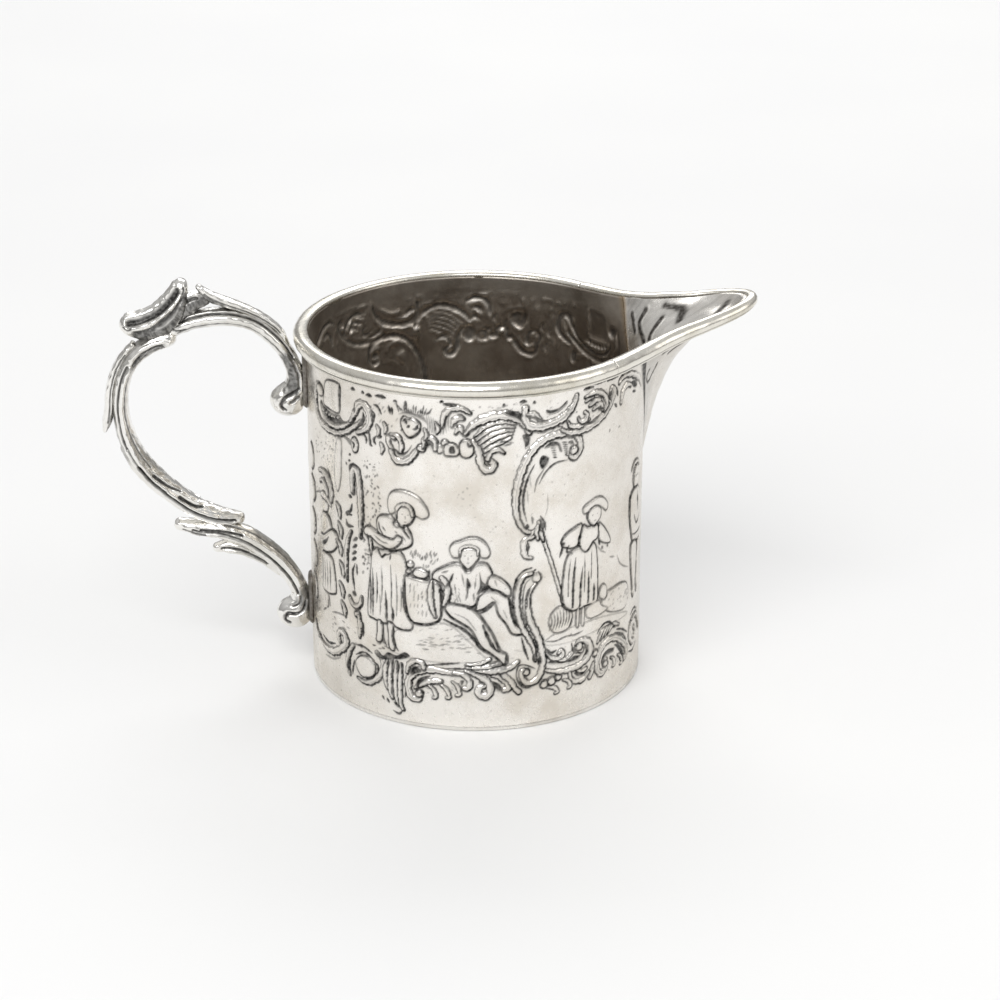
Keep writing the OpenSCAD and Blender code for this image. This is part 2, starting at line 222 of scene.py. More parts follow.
def piece(name, co, quads, mat, replaces, attrs=None, tris=None):
    """A mesh from points in millimetres. attrs are values for each point."""
    me = bpy.data.meshes.new(name)
    co = np.asarray(co, float)
    quads = np.asarray(quads, np.int64).reshape(-1, 4)
    tris = np.asarray(tris if tris is not None else [], np.int64).reshape(-1, 3)
    loops = np.concatenate([quads.ravel(), tris.ravel()])
    starts = np.concatenate([np.arange(len(quads)) * 4, len(quads) * 4 + np.arange(len(tris)) * 3])
    me.vertices.add(len(co))
    me.vertices.foreach_set("co", (co * MM).ravel())
    me.loops.add(len(loops))
    me.loops.foreach_set("vertex_index", loops.astype(np.int32))
    me.polygons.add(len(starts))
    me.polygons.foreach_set("loop_start", starts.astype(np.int32))
    me.polygons.foreach_set("use_smooth", np.ones(len(starts), bool))
    me.update(calc_edges=True)
    me.validate()
    for k, v in (attrs or {}).items():
        a = me.attributes.new(k, "FLOAT", "POINT")
        a.data.foreach_set("value", np.clip(v, 0, 1).astype(np.float32))
    me.materials.append(mat)
    ob = bpy.data.objects.new(name, me)
    bpy.context.scene.collection.objects.link(ob)
    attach(ob, "root")
    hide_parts(*replaces)
    made[name] = ob
    return ob


def grid_quads(rows, cols, start=0, flip=False, wrap=False):
    i, j = np.meshgrid(np.arange(rows - 1), np.arange(cols if wrap else cols - 1), indexing="ij")
    a = start + i * cols + j
    b = start + i * cols + (j + 1) % cols
    q = np.stack([a, b, b + cols, a + cols], -1).reshape(-1, 4)
    return q[:, ::-1] if flip else q


def end_fans(rings, n, flip=False):
    """Triangles from the first and last of the rings to the two points that follow them all."""
    a = np.arange(n)
    b = (a + 1) % n
    if flip:
        a, b = b, a
    last = (rings - 1) * n
    return np.vstack([np.stack([a, b, np.full(n, rings * n)], -1),
                      np.stack([last + b, last + a, np.full(n, rings * n + 1)], -1)])


# ------------------------------------------------------------ relief on the wall
# A height and a darkness value for every place on the unrolled wall, in millimetres: oxide in the chased
# lines and hollows, with painted shade on their sides away from the light.
PPM = 12
NU = int(round(2 * math.pi * R * PPM))
NZ = int(66 * PPM)
height = np.zeros((NZ, NU))
dark = np.zeros((NZ, NU))


def curve(points, closed=False, gap=0.3, scale=None):
    """Smooth line through points given as (degrees round the wall, height)."""
    sx = math.radians(1) * R if scale is None else scale
    p = np.array([(a * sx, z) for a, z in points], float)
    if closed:
        p = np.vstack([p[-1], p, p[0], p[1]])
    else:
        p = np.vstack([2 * p[0] - p[1], p, 2 * p[-1] - p[-2]])
    out = []
    for i in range(1, len(p) - 2):
        a, b, c, d = p[i - 1:i + 3]
        n = max(2, int(math.ceil(np.linalg.norm(c - b) / gap)))
        t = (np.arange(n) / n)[:, None]
        out.append((2 * b + (c - a) * t + (2 * a - 5 * b + 4 * c - d) * t ** 2
                    + (3 * b - a - 3 * c + d) * t ** 3) / 2)
    out.append(p[-2][None])
    return np.vstack(out)


class Window:
    """Part of the raster round a line, with each sample's distance to it."""

    def __init__(self, path, reach):
        self.x0 = int(math.floor((path[:, 0].min() - reach) * PPM))
        x1 = int(math.ceil((path[:, 0].max() + reach) * PPM)) + 1
        self.z0 = max(0, int(math.floor((path[:, 1].min() - reach) * PPM)))
        z1 = min(NZ, int(math.ceil((path[:, 1].max() + reach) * PPM)) + 1)
        self.x = (np.arange(self.x0, x1) + 0.5) / PPM
        self.z = (np.arange(self.z0, z1) + 0.5) / PPM
        self.at = np.ix_(np.arange(self.z0, z1), np.arange(self.x0, x1) % NU)
        shape = (len(self.z), len(self.x))
        self.d = np.full(shape, reach + 1.0)
        self.along = np.zeros(shape)
        self.right = np.zeros(shape)
        seg = np.linalg.norm(np.diff(path, axis=0), axis=1)
        run = np.concatenate([[0], np.cumsum(seg)])
        for k in range(len(seg)):
            a, b = path[k], path[k + 1]
            i0 = max(0, int((min(a[1], b[1]) - reach) * PPM) - self.z0)
            i1 = int((max(a[1], b[1]) + reach) * PPM) - self.z0 + 2
            j0 = max(0, int(math.floor((min(a[0], b[0]) - reach) * PPM)) - self.x0)
            j1 = int(math.floor((max(a[0], b[0]) + reach) * PPM)) - self.x0 + 2
            X, Z = self.x[None, j0:j1], self.z[i0:i1, None]
            v = b - a
            t = np.clip(((X - a[0]) * v[0] + (Z - a[1]) * v[1]) / max(seg[k] ** 2, 1e-9), 0, 1)
            dx, dz = X - a[0] - t * v[0], Z - a[1] - t * v[1]
            d = np.hypot(dx, dz)
            old = self.d[i0:i1, j0:j1]
            m = d < old
            old[m] = d[m]
            self.along[i0:i1, j0:j1][m] = (run[k] + t * seg[k])[m]
            # right: how far below and to the right of the line each sample lies, the side away from the
            # light; the outlines and inner lines use it to paint shade on that side.
            self.right[i0:i1, j0:j1][m] = ((dx * 0.6 - dz * 0.8) / np.maximum(d, 1e-6))[m]
        self.total = run[-1]
        self.share = self.along / max(run[-1], 1e-9)

    def taper(self, ends):
        s = self.share
        a = ends[0] + (1 - ends[0]) * np.clip(s / 0.3, 0, 1) if ends[0] < 1 else 1
        b = ends[1] + (1 - ends[1]) * np.clip((1 - s) / 0.3, 0, 1) if ends[1] < 1 else 1
        w = rng.uniform(0, 6, 2)
        wobble = 1 + 0.13 * np.sin(self.along * 3.1 + w[0]) + 0.09 * np.sin(self.along * 7.3 + w[1])
        return a * b * wobble


def inside(path, win):
    x, z = win.x[None, :], win.z[:, None]
    hit = np.zeros((len(win.z), len(win.x)), bool)
    n = len(path)
    for k in range(n):
        a, b = path[k], path[(k + 1) % n]
        if a[1] == b[1]:
            continue
        crosses = (a[1] > z) != (b[1] > z)
        hit ^= crosses & (x < (b[0] - a[0]) * (z - a[1]) / (b[1] - a[1]) + a[0])
    return hit


def soft(v):
    v = np.clip(v, 0, 1)
    return v * v * (3 - 2 * v)


def cut(points, w=0.4, depth=0.14, ink=0.85, ends=(0.35, 0.35), closed=False):
    """A chased line."""
    path = curve(points, closed)
    w = w * 1.02 + 0.03
    win = Window(path, w + 0.2)
    half = w / 2 * win.taper((1, 1) if closed else ends)
    m = np.clip(1 - (win.d / half) ** 2, 0, 1)
    height[win.at] -= depth * m
    dark[win.at] = np.maximum(dark[win.at], min(1, ink * 1.15) * soft((half - win.d) / 0.13 + 0.55))


def outline(win, edge, line, ink):
    """The chased line along the edge of a raised shape, made wider and darker below and to the right as
    painted shade on the side away from the light.
    """
    width = line * (0.5 + 0.4 * win.right) + 0.05
    e = (edge - line * 0.25) / width
    m = np.clip(1 - e ** 2, 0, 1)
    height[win.at] -= 0.14 * m
    dark[win.at] = np.maximum(dark[win.at], min(1, ink * 1.25) * soft(1.7 * m) * (0.88 + 0.12 * win.right))


def band(points, w=1.0, h=0.34, ends=(0.3, 0.6), ink=0.82, line=0.34, closed=False, core=0.0):
    """A raised rounded band with chased lines along it, such as a scroll."""
    path = curve(points, closed)
    win = Window(path, w / 2 * 1.3 + line + 0.3)
    half = w / 2 * win.taper((1, 1) if closed else ends)
    outline(win, win.d - half, line, ink)
    on = win.d < half
    ridge = 0.85 * h * np.sqrt(np.clip(1 - (win.d / half) ** 3, 0, 1))
    h0, d0 = height[win.at], dark[win.at]
    h0 = np.where(on, np.maximum(h0 * 0.4, 0) * 0.4 + ridge, h0)
    d0 = np.where(win.d < half - 0.08, 0.0, d0)
    # An inner chased line, sunk and darkened only on the side below and to the right: painted shade on the
    # side away from the light.
    if w >= 0.8 and not core:
        m = np.exp(-((win.d / half - 0.42) / 0.16) ** 2) * soft(0.5 + 2 * win.right) * on
        h0 = h0 - 0.07 * m
        d0 = np.maximum(d0, 0.5 * m)
    if core:
        m = soft(1 - win.d / (core * half))
        h0 = h0 - 0.16 * m
        d0 = np.maximum(d0, 0.55 * m)
    height[win.at], dark[win.at] = h0, d0


def form(points, h=0.3, swell=1.3, line=0.34, ink=0.78, clear=True):
    """A raised soft shape with a chased outline, such as a sleeve or a hat."""
    path = curve(points, True)
    win = Window(path, swell + 0.6)
    on = inside(path, win)
    e = np.where(on, -win.d, win.d)
    outline(win, e, line, ink)
    up = h * np.sqrt(np.clip(1 - (1 - np.clip(win.d / (0.62 * swell), 0, 1)) ** 2, 0, 1))
    h0, d0 = height[win.at], dark[win.at]
    h0 = np.where(on, np.maximum(h0, 0) * 0.35 + up, h0)
    if clear:
        d0 = np.where(e < -line * 0.6, 0.0, d0)
    height[win.at], dark[win.at] = h0, d0


def pit(points, depth=0.2, ink=0.9):
    """A sunk dark place between raised shapes."""
    path = curve(points, True)
    win = Window(path, 0.5)
    on = inside(path, win)
    m = soft(np.where(on, win.d, -win.d) / 0.2 + 0.5)
    height[win.at] -= depth * m
    dark[win.at] = np.maximum(dark[win.at], ink * m)


def ball(a, z, r=0.7, h=0.38, ink=0.75, line=0.3):
    k = r / (math.radians(1) * R)
    form([(a + k * math.cos(t), z + r * math.sin(t)) for t in np.arange(8) * math.pi / 4],
         h, r, line, ink)


def cuts(many, **kw):
    for p in many:
        cut(p, **kw)


def dots(a0, a1, z0, z1, n, r=0.16, ink=0.7):
    for a, z, s in zip(rng.uniform(a0, a1, n), rng.uniform(z0, z1, n), rng.uniform(0.5, 1.3, n)):
        q = rng.uniform(0, math.pi)
        k = r * s
        cut([(a, z), (a + 1.6 * k * math.cos(q) * 1.9, z + 1.6 * k * math.sin(q))], 1.7 * k, 0.07,
            ink * rng.uniform(0.5, 1), (0.8, 0.8))


def grass(a0, a1, z, n, tall=0.9, ink=0.7):
    for i in range(n):
        a = a0 + (a1 - a0) * (i + rng.uniform(0.1, 0.9)) / n
        zz = z + rng.uniform(-0.7, 0.7)
        cut([(a, zz), (a + rng.uniform(-0.3, 0.7), zz + tall * rng.uniform(0.6, 1.3))], 0.24, 0.08, ink)


def strokes(a0, a1, z0, z1, n, length, w=0.22, ink=0.6, slope=0.0):
    for i in range(n):
        a, z = rng.uniform(a0, a1), rng.uniform(z0, z1)
        l = length * rng.uniform(0.5, 1.2)
        cut([(a, z), (a + l, z + slope * l * 0.52 + rng.uniform(-0.15, 0.15))], w, 0.06,
            ink * rng.uniform(0.5, 1))


# ---- the front's panels, in degrees round the wall and millimetres up
def foot_scrolls():
    # swag at the far left
    band([(196, 9.6), (199, 8.9), (204, 8.7), (209, 9.3), (213, 10.7), (215.6, 12.2), (214.8, 13.7),
          (212.4, 14), (211, 12.9), (212, 11.9)], 1.3)
    cut([(199, 10.4), (204, 10), (209, 10.8)], 0.5)
    cut([(201, 6.9), (207, 7.4), (212, 8.6)], 0.4, ink=0.5)
    # oval cartouche
    band([(230, 12.8), (232.6, 11.4), (232, 9.2), (229, 7.3), (225, 6.2), (221, 6.6)], 1.0, ends=(0.5, 0.2))
    band([(219, 12.4), (217, 10.6), (216.2, 8.4), (217.2, 6.4)], 0.9, ends=(0.7, 0.3))
    form([(220.5, 9.4), (222.6, 11), (226, 11.4), (228.9, 10.4), (228.6, 8.4), (226, 7.2), (222.6, 7.4)], 0.3)
    cuts([[(220, 12.7), (224, 13), (228, 12.3)], [(220.6, 10.9), (224.6, 11.9), (229, 11)],
          [(219.8, 9.6), (219, 8), (218.6, 6.6)], [(228, 10.8), (230.4, 10.2), (230, 8.6)],
          [(224.6, 7.2), (228, 7.6), (230, 8.8)]], w=0.42)
    pit([(217, 9.6), (215.8, 8), (216, 6.4), (216.9, 7.2), (217.6, 8.8)])
    # leaf bundle
    for a, z0, z1, b in ((234.2, 12, 7.6, 233.4), (236, 12.2, 6, 235.2), (237.8, 12, 5, 237.6),
                         (239.6, 11.8, 4.2, 239.2)):
        band([(a, z0), ((a + b) / 2 - 0.4, (z0 + z1) / 2), (b, z1), (b + 0.9, z1 - 1.2)], 0.75, h=0.26)
    cuts([[(232, 4.6), (232.8, 3.9)], [(233.8, 4.4), (234.8, 3.6)], [(236.6, 4), (238.6, 3.1)],
          [(236.4, 2.3), (238.6, 1.9), (240, 2.7)], [(241.4, 7), (241, 5.4)]], w=0.36)
    pit([(230, 12.9), (232.4, 12.4), (234.6, 13.4), (238, 13.2), (241, 14.2), (243, 13.6), (240.6, 12.8),
         (237, 12.3), (233, 11.7), (230.6, 12.2)], 0.16)
    # large C-scroll
    band([(253.6, 9.5), (250, 9.3), (246.6, 8.4), (244.6, 7.6)], 0.95, ends=(0.8, 0.3))
    band([(246.6, 6.9), (245.4, 5.6), (243.2, 5.8), (242.1, 7.6), (242.8, 9.6), (246, 11), (251, 11.6),
          (256, 11.3), (259.6, 11)], 1.15, ends=(0.9, 0.4), core=0.3)
    ball(245.9, 6.7, 0.62)
    band([(241.8, 10.4), (242.6, 12), (245, 12.9), (247.4, 12.5), (247.8, 11.7)], 0.8, ends=(0.4, 0.9))
    pit([(243, 11), (244.6, 11.8), (246.6, 11.5), (247, 10.9), (245, 10.4), (243.4, 10)], 0.2)
    pit([(245, 8.4), (246.2, 9.6), (250, 10.4), (249.6, 9.9), (246.8, 8.8), (245.8, 7.6)], 0.2)
    cuts([[(249, 12.3), (254, 12.8), (260, 13.2)], [(254, 11.9), (260, 12.1), (265, 12)]], w=0.36)
    # hanging curls
    band([(258, 11.4), (261.6, 10.9), (263.4, 9.6), (262.8, 8.4), (261.4, 8.4)], 0.85, ends=(0.5, 0.9))
    band([(262, 11.7), (266, 10.9), (269.6, 9.4), (270.2, 7.8), (268.8, 6.9), (266.4, 7.2), (266.4, 8.4),
          (268, 8.9)], 1.15, ends=(0.3, 0.8))
    band([(267.6, 11.6), (272, 10.9), (275.6, 9.4), (276.2, 8.2), (274.8, 7.9)], 0.95, ends=(0.3, 0.9))
    band([(273, 11.4), (276.6, 9.8), (278.6, 8), (279.8, 7.3)], 0.85, ends=(0.3, 0.9))
    pit([(270.6, 9.6), (273, 9.2), (274.4, 8), (273.6, 7.6), (271.6, 8.4)], 0.22)
    pit([(261.6, 9.8), (260.6, 8.8), (260.2, 9.8)], 0.18)
    pit([(266.6, 10), (268.6, 9.4), (268, 8.9), (266.4, 9.4)], 0.18)
    # leaf tips over them
    band([(262, 12.9), (267, 13.2), (270, 14)], 0.6, h=0.26, ends=(0.2, 0.7))
    band([(262, 12.3), (268, 12.4), (273.6, 12.9)], 0.75, h=0.3, ends=(0.2, 0.8))
    band([(264, 11.9), (270, 11.6), (276, 11.9), (279.4, 13.1)], 0.85, h=0.32, ends=(0.2, 0.8))
    pit([(269.6, 13.2), (273, 13.6), (275.6, 12.6), (277.6, 12.8), (275.8, 11.9), (272, 12)], 0.15, 0.75)
    # shells and the second swag
    for a, z, r in ((288.8, 8.1, 0.75), (291.4, 8.4, 0.8), (294, 8.9, 0.65)):
        ball(a, z, r, 0.34, 0.9, 0.4)
    band([(289, 10.7), (293, 10), (298, 9.7), (303, 10), (306.8, 11.2), (307.6, 12.9), (305.8, 14.2),
          (303, 14.6), (301.8, 13.6), (303.4, 12.8)], 1.15, ends=(0.3, 0.8), ink=0.9)
    ball(302.3, 13.7, 0.75)
    pit([(290, 12), (293, 11.4), (298, 11), (302, 11.2), (304.8, 12.4), (303, 11.8), (300.6, 12), (298, 11.5),
         (293, 12.2)], 0.2)
    band([(289.6, 14), (291.6, 12.8), (294.6, 12.3), (296, 13.1), (295.2, 13.9), (294.2, 13.4)], 0.7)
    band([(294, 11.9), (297.4, 12), (299.6, 12.8)], 0.7, ends=(0.3, 0.6))
    cuts([[(289.4, 14.8), (291.4, 13.8), (293.4, 14)], [(299.4, 14.6), (300.4, 12.8), (302.6, 12.2)],
          [(305, 13.4), (306, 12.2), (304.4, 11.2)]], w=0.5)
    band([(298.6, 9), (299.4, 7.6), (301.6, 6.9), (304.6, 7), (306.8, 8)], 0.85, ends=(0.6, 0.4))
    band([(301.6, 9), (304, 8.6), (305.6, 8.9)], 0.6, ends=(0.3, 0.6))
    band([(309, 9.4), (308.4, 7.8), (307.4, 6.8)], 0.85, ends=(0.4, 0.8))
    pit([(300.4, 8.8), (302, 7.8), (304.6, 7.7), (305.8, 8.4), (303.4, 8.2)], 0.18)
    ball(309.7, 11.2, 0.62, 0.3, 0.9, 0.4)
    # fan scroll
    band([(315.6, 8.6), (315.4, 7.2), (313.2, 6.5), (311, 7.6), (310.8, 9.6), (312.8, 11.4), (316.4, 12.3),
          (320.4, 12.1), (324.6, 10.9), (328, 9.2), (329.8, 7.4), (328, 6.7), (325.6, 7.2)], 1.15,
         ends=(0.9, 0.9), core=0.25)
    ball(314.9, 8.2, 0.6)
    pit([(313.2, 8.4), (314.2, 9.8), (317, 10.4), (320.8, 10), (320.4, 9.4), (317, 9.5), (315, 9)], 0.22)
    pit([(320.8, 10.6), (324, 10), (327, 8.3), (327.6, 7.4), (325.4, 8), (322.4, 9.8)], 0.22)
    for k in range(4):
        band([(311 + k * 1.8, 12.9 + k * 0.25), (313.4 + k * 2.1, 14.6 + k * 0.1),
              (316.6 + k * 2.3, 15 - k * 0.3)], 0.62, h=0.24, ends=(0.3, 0.5))
    cuts([[(311, 14.6), (314, 15.9), (317.6, 15.7), (321, 14)], [(322, 13.4), (326, 12.6), (330, 11.2)],
          [(321, 12.9), (326, 11.7), (329.6, 9.8)]], w=0.42)
    band([(333, 12.6), (332, 10.6), (333.6, 8.6), (336.4, 8.2), (338, 9.6), (336.6, 10.8)], 1.0)
    for a, z in ((233, 8), (249, 7.4), (256, 9), (259, 9.2), (297, 12.8), (309, 8.4), (318, 7), (322, 7.6)):
        strokes(a - 1.2, a + 1.4, z - 0.9, z + 0.7, 5, 1.0, 0.2, 0.5, rng.uniform(-1, 1))
    for a0, z0, a1, z1 in ((249, 8.6, 252, 6.4), (253, 9, 256.6, 6.6), (257.4, 9.6, 260, 7.2),
                           (290, 7.2, 294, 6),
                           (296, 8, 299, 6.4), (318.4, 8.6, 321, 6.8), (323, 8.2, 326, 6.2)):
        band([(a0, z0), ((a0 + a1) / 2 + 0.6, (z0 + z1) / 2 + 0.3), (a1, z1), (a1 - 0.9, z1 - 0.2)], 0.62,
             h=0.24,
             ends=(0.3, 0.8), line=0.26)
    band([(334, 12.8), (338, 13), (341.6, 11.4), (343.6, 9)], 0.9, ends=(0.5, 0.3))
    cuts([[(332, 6.8), (336, 6.2), (340, 7)], [(333, 13.8), (337, 14.4), (341, 13.4)]], w=0.4)


def rim_scrolls():
    # large scroll at the left, with its plain mirror and scalloped edge
    form([(205, 55.9), (205.4, 58), (206.4, 60), (209, 60.8), (214.6, 60.8), (214.4, 58), (214.2, 55.8),
          (211, 55.5), (208, 55.6)], 0.16, 2.4, 0.4, 0.7)
    cut([(215, 61), (214.9, 58.4), (214.8, 56)], 0.6, 0.16)
    band([(201.6, 58.8), (199.6, 58.2), (198.4, 56.2), (199, 54), (201.4, 52.5), (205.4, 51.8), (210, 51.7),
          (214.6, 52.1), (218.6, 53), (222, 54.2), (224.8, 55.4)], 1.15, ends=(0.8, 0.5), core=0.25)
    band([(202.8, 55.8), (204, 54.4), (207.6, 53), (212, 52.8), (216, 53.4), (219.8, 54.6), (222, 55.8)],
         0.8, ends=(0.4, 0.4))
    pit([(203, 55.6), (205, 55.2), (208, 54.9), (211, 54.4), (214, 54.9), (217, 54.4), (220, 54.6),
         (216, 53.9), (212, 53.2), (208, 53.5), (205, 54.3)], 0.2)
    for k in range(6):
        ball(205.6 + k * 1.7, 54.7 - 0.1 * k * (5 - k) * 0.4, 0.36, 0.3, 0.6, 0.24)
    ball(202.4, 58, 1.1)
    band([(220.4, 55), (222.8, 57.2), (224.4, 58.6), (226.8, 58.7), (228.6, 57.2), (228.4, 55.4), (226, 54),
          (223.6, 53.4)], 1.2, ends=(0.4, 0.5), core=0.3)
    pit([(226, 57.4), (225.2, 56), (223.6, 54.6), (225.4, 54.8), (226.8, 56)], 0.22)
    pit([(222.2, 58.6), (222.8, 57.6), (222.6, 56.8), (221.8, 57.4)], 0.2)
    form([(220.6, 51.6), (222, 52.3), (223.4, 51.4), (223, 49.9), (221.6, 49.6), (220.8, 50.4)], 0.3)
    pit([(214.6, 52), (217.6, 51.4), (220, 50.6), (220.4, 51.4), (217.4, 51.9)], 0.15, 0.7)
    cuts([[(221.2, 51.4), (222.2, 51), (221.8, 50.2)], [(219.2, 48.6), (220, 48.8)],
          [(218.8, 47.5), (219.8, 47.6)], [(217.4, 47), (218, 46.6)]], w=0.42)
    # mirrored strip below it
    form([(213.2, 50.8), (215, 50.6), (214.8, 47), (214.2, 43.4), (212.6, 41), (211.4, 43), (211.6, 47)],
         0.22, 1.0, 0.36, 0.5)
    # feathers
    cuts([[(230.6, 59.2), (232.2, 59), (233.6, 57.8)], [(229.4, 58), (230.8, 57.5), (230.4, 56.4)],
          [(229.8, 56.6), (230.6, 56.2)], [(226, 53.4), (227.2, 52.8), (227.2, 51.8)],
          [(227.4, 54.2), (228.6, 53.6), (228.4, 52.6)], [(228.8, 53.2), (229, 51.8), (229.8, 51.6)],
          [(231.4, 53.6), (230.4, 52.8), (231.2, 52)], [(233.6, 53.8), (232.4, 53.4)],
          [(236.4, 59.6), (237, 58.2)], [(237.6, 59.4), (237.8, 58.2)]], w=0.46)
    # dashes under the rim
    for a, z, l in ((221, 60.9, 1.4), (225.6, 60.8, 0.8), (227.6, 60.6, 2), (231.4, 60.9, 3.8),
                    (238.4, 60.6, 1),
                    (254.4, 61.4, 0.8), (274.6, 60.8, 0.4), (280.2, 61.2, 1.8), (284.6, 60.8, 0.5),
                    (303.6, 61.4, 4), (308.4, 61.8, 5), (314.4, 61.6, 6)):
        cut([(a, z), (a + l / 2, z + 0.1), (a + l, z)], 0.45 + 0.1 * (l > 1), 0.16, 0.85, (0.6, 0.6))
    # heart and flames
    form([(243.4, 54.7), (241.6, 55.8), (240.9, 57.2), (241.8, 58.2), (243.4, 57.9), (245.2, 58.1),
          (247.2, 57.3), (247, 56), (245.2, 55)], 0.36, 1.0, 0.44, 0.85)
    cuts([[(241.8, 57.4), (242.6, 57.6), (243.2, 57)], [(245.4, 56.2), (246.4, 56.3), (246.8, 57)],
          [(243.4, 56.4), (244.2, 56.8)], [(241, 55.9), (241.6, 55.5)]], w=0.5)
    pit([(240, 58.4), (242, 58.7), (245, 58.5), (248.4, 58), (250, 57.2), (248.6, 58.7), (246, 58.9),
         (243, 59.2)], 0.12, 0.7)
    for k in range(15):
        a = 240.2 + k * 0.72
        b = (a - 244.6) * 0.22
        cut([(a, 58.8 + 0.2 * math.sin(k)), (a + b, 60 + 0.5 * math.cos(k * 1.7))], 0.26, 0.1, 0.75)
    for k in range(8):
        a = 249.6 + k * 0.75
        cut([(a, 59 - k * 0.2), (a + 0.5, 57), (a + 0.3, 55.6)], 0.22, 0.08, 0.55)
    pit([(242, 60.6), (242.8, 61), (243.2, 60), (242.4, 59.4)], 0.14)
    # bowl below the heart
    band([(238.4, 53.8), (236.6, 54.2), (236.2, 53), (237.6, 51.8)], 0.75)
    band([(236.8, 54.6), (239.6, 54.4), (240.9, 53), (240.6, 51.6)], 0.7)
    band([(237, 51.6), (238.4, 50.2), (241, 49.9), (243.8, 50.7), (246, 52.2), (247, 53)], 1.05,
         ends=(0.6, 0.5), core=0.3)
    pit([(238.6, 52), (239.4, 51), (241.6, 51), (243.8, 52.2), (244.6, 53.2), (242.8, 51.9), (240.6, 51.5)],
        0.2)
    # lobes
    for a, z, r in ((247.8, 52.9, 0.7), (253.8, 53.1, 0.8), (255.6, 54.2, 0.6)):
        ball(a, z, r, 0.32, 0.7, 0.3)
    band([(248.6, 53), (248.9, 54.4), (250.6, 54.9), (252.4, 54.3), (252.5, 52.8)], 0.85, ink=0.9)
    pit([(249.4, 52.8), (249.6, 54), (250.8, 54.3), (251.8, 53.8), (251.8, 52.6), (250.8, 53.4)], 0.18)
    form([(255.6, 52.1), (255.4, 53.6), (257, 54.2), (259, 54), (260.2, 53), (259.6, 52.1), (257.6, 51.9)],
         0.3)
    pit([(257.2, 52.4), (257.3, 53.5), (258.8, 53.6), (259, 52.4)], 0.22)
    form([(260.8, 52.2), (260.4, 54), (262, 55), (264.2, 54.6), (265, 53), (263.8, 51.9), (262.2, 51.7)],
         0.34)
    cut([(263, 54.4), (263.6, 53.8), (264.6, 53.9)], 0.45)
    # leaf beside the fan
    band([(254.8, 57), (255.4, 59), (257.6, 60.3), (261, 60.4), (263.8, 59.6)], 0.95, ends=(0.3, 0.4))
    pit([(255, 61.1), (257.6, 61.3), (260, 60.9), (257.6, 60.5)], 0.16)
    band([(258, 57.2), (259.2, 58.5), (261.6, 58.6)], 0.85, ends=(0.3, 0.5))
    band([(259.2, 56), (260.4, 57), (261.4, 56.2)], 0.8, ends=(0.4, 0.5))
    pit([(259.6, 59.4), (261.4, 59.4), (262.2, 58.6), (260.6, 58.8)], 0.18)
    pit([(258.2, 57.6), (259.6, 57.7), (260.2, 56.8), (259, 57)], 0.18)
    cuts([[(256.4, 59.6), (255.8, 58), (256.2, 56)], [(257.4, 59.6), (256.8, 58), (257, 56.4)]], w=0.26,
         ink=0.5)
    # acanthus fan with its hanging curl
    band([(262.2, 55.9), (264.6, 57.4), (268.6, 58.6), (273.4, 59.1), (278, 58.7), (281.4, 57.4),
          (283, 55.6)], 1.5, ends=(0.3, 0.5), h=0.42, line=0.46, ink=0.92)
    pit([(275, 59.7), (278, 59.6), (280.8, 58.6), (282.2, 57), (281.2, 57.2), (279, 58.4), (276, 59.1)], 0.2)
    for k in range(5):
        s = k * 0.85
        band([(265.2 + k * 0.6, 55.4 - s * 0.9), (269 + k * 0.7, 57.2 - s), (274 + k * 0.5, 57.9 - s * 0.95),
              (278.6 - k * 0.4, 57.4 - s * 0.7)], 0.62, h=0.3, ends=(0.3, 0.4), line=0.28, ink=0.72)
    pit([(281, 55.2), (283, 55.1), (283.6, 54.6), (283.2, 53.4), (282, 52.8), (281.6, 53.8)], 0.24)
    band([(264.8, 54.6), (266.6, 52.8), (267.2, 50.8), (268.6, 49.5), (270.6, 49.4), (271.4, 50.3),
          (270.4, 50.9)], 1.15, ends=(0.5, 0.8))
    band([(274.8, 52.3), (272.8, 53), (270.6, 52.6), (269.4, 51.3)], 0.75, ends=(0.3, 0.7))
    cuts([[(271, 53.9), (274, 54.4), (278, 54)], [(275, 53.6), (277.4, 53.9)]], w=0.3, ink=0.6)
    # sideways scroll to the right of it
    band([(281.8, 60), (281.8, 58.2), (283.4, 56.8), (286.8, 56.4), (291.6, 56.7), (296, 57.6), (299.2, 59.2),
          (300.4, 60.8)], 1.35, ends=(0.7, 0.4), core=0.25, line=0.4)
    band([(282.6, 58.9), (284.6, 58.8), (287, 57.8)], 0.8, ends=(0.6, 0.3))
    pit([(284.6, 58.9), (286, 58.2), (288.6, 57.4), (291, 57.3), (288.4, 57), (286, 57.2)], 0.2)
    pit([(289, 59.2), (291, 59), (294, 59.2), (296.8, 60.2), (296.6, 59.7), (293.6, 58.6), (290, 58.4)], 0.2)
    cut([(284.6, 55.6), (288, 55.4), (292, 55.9), (295, 55.7)], 0.4)
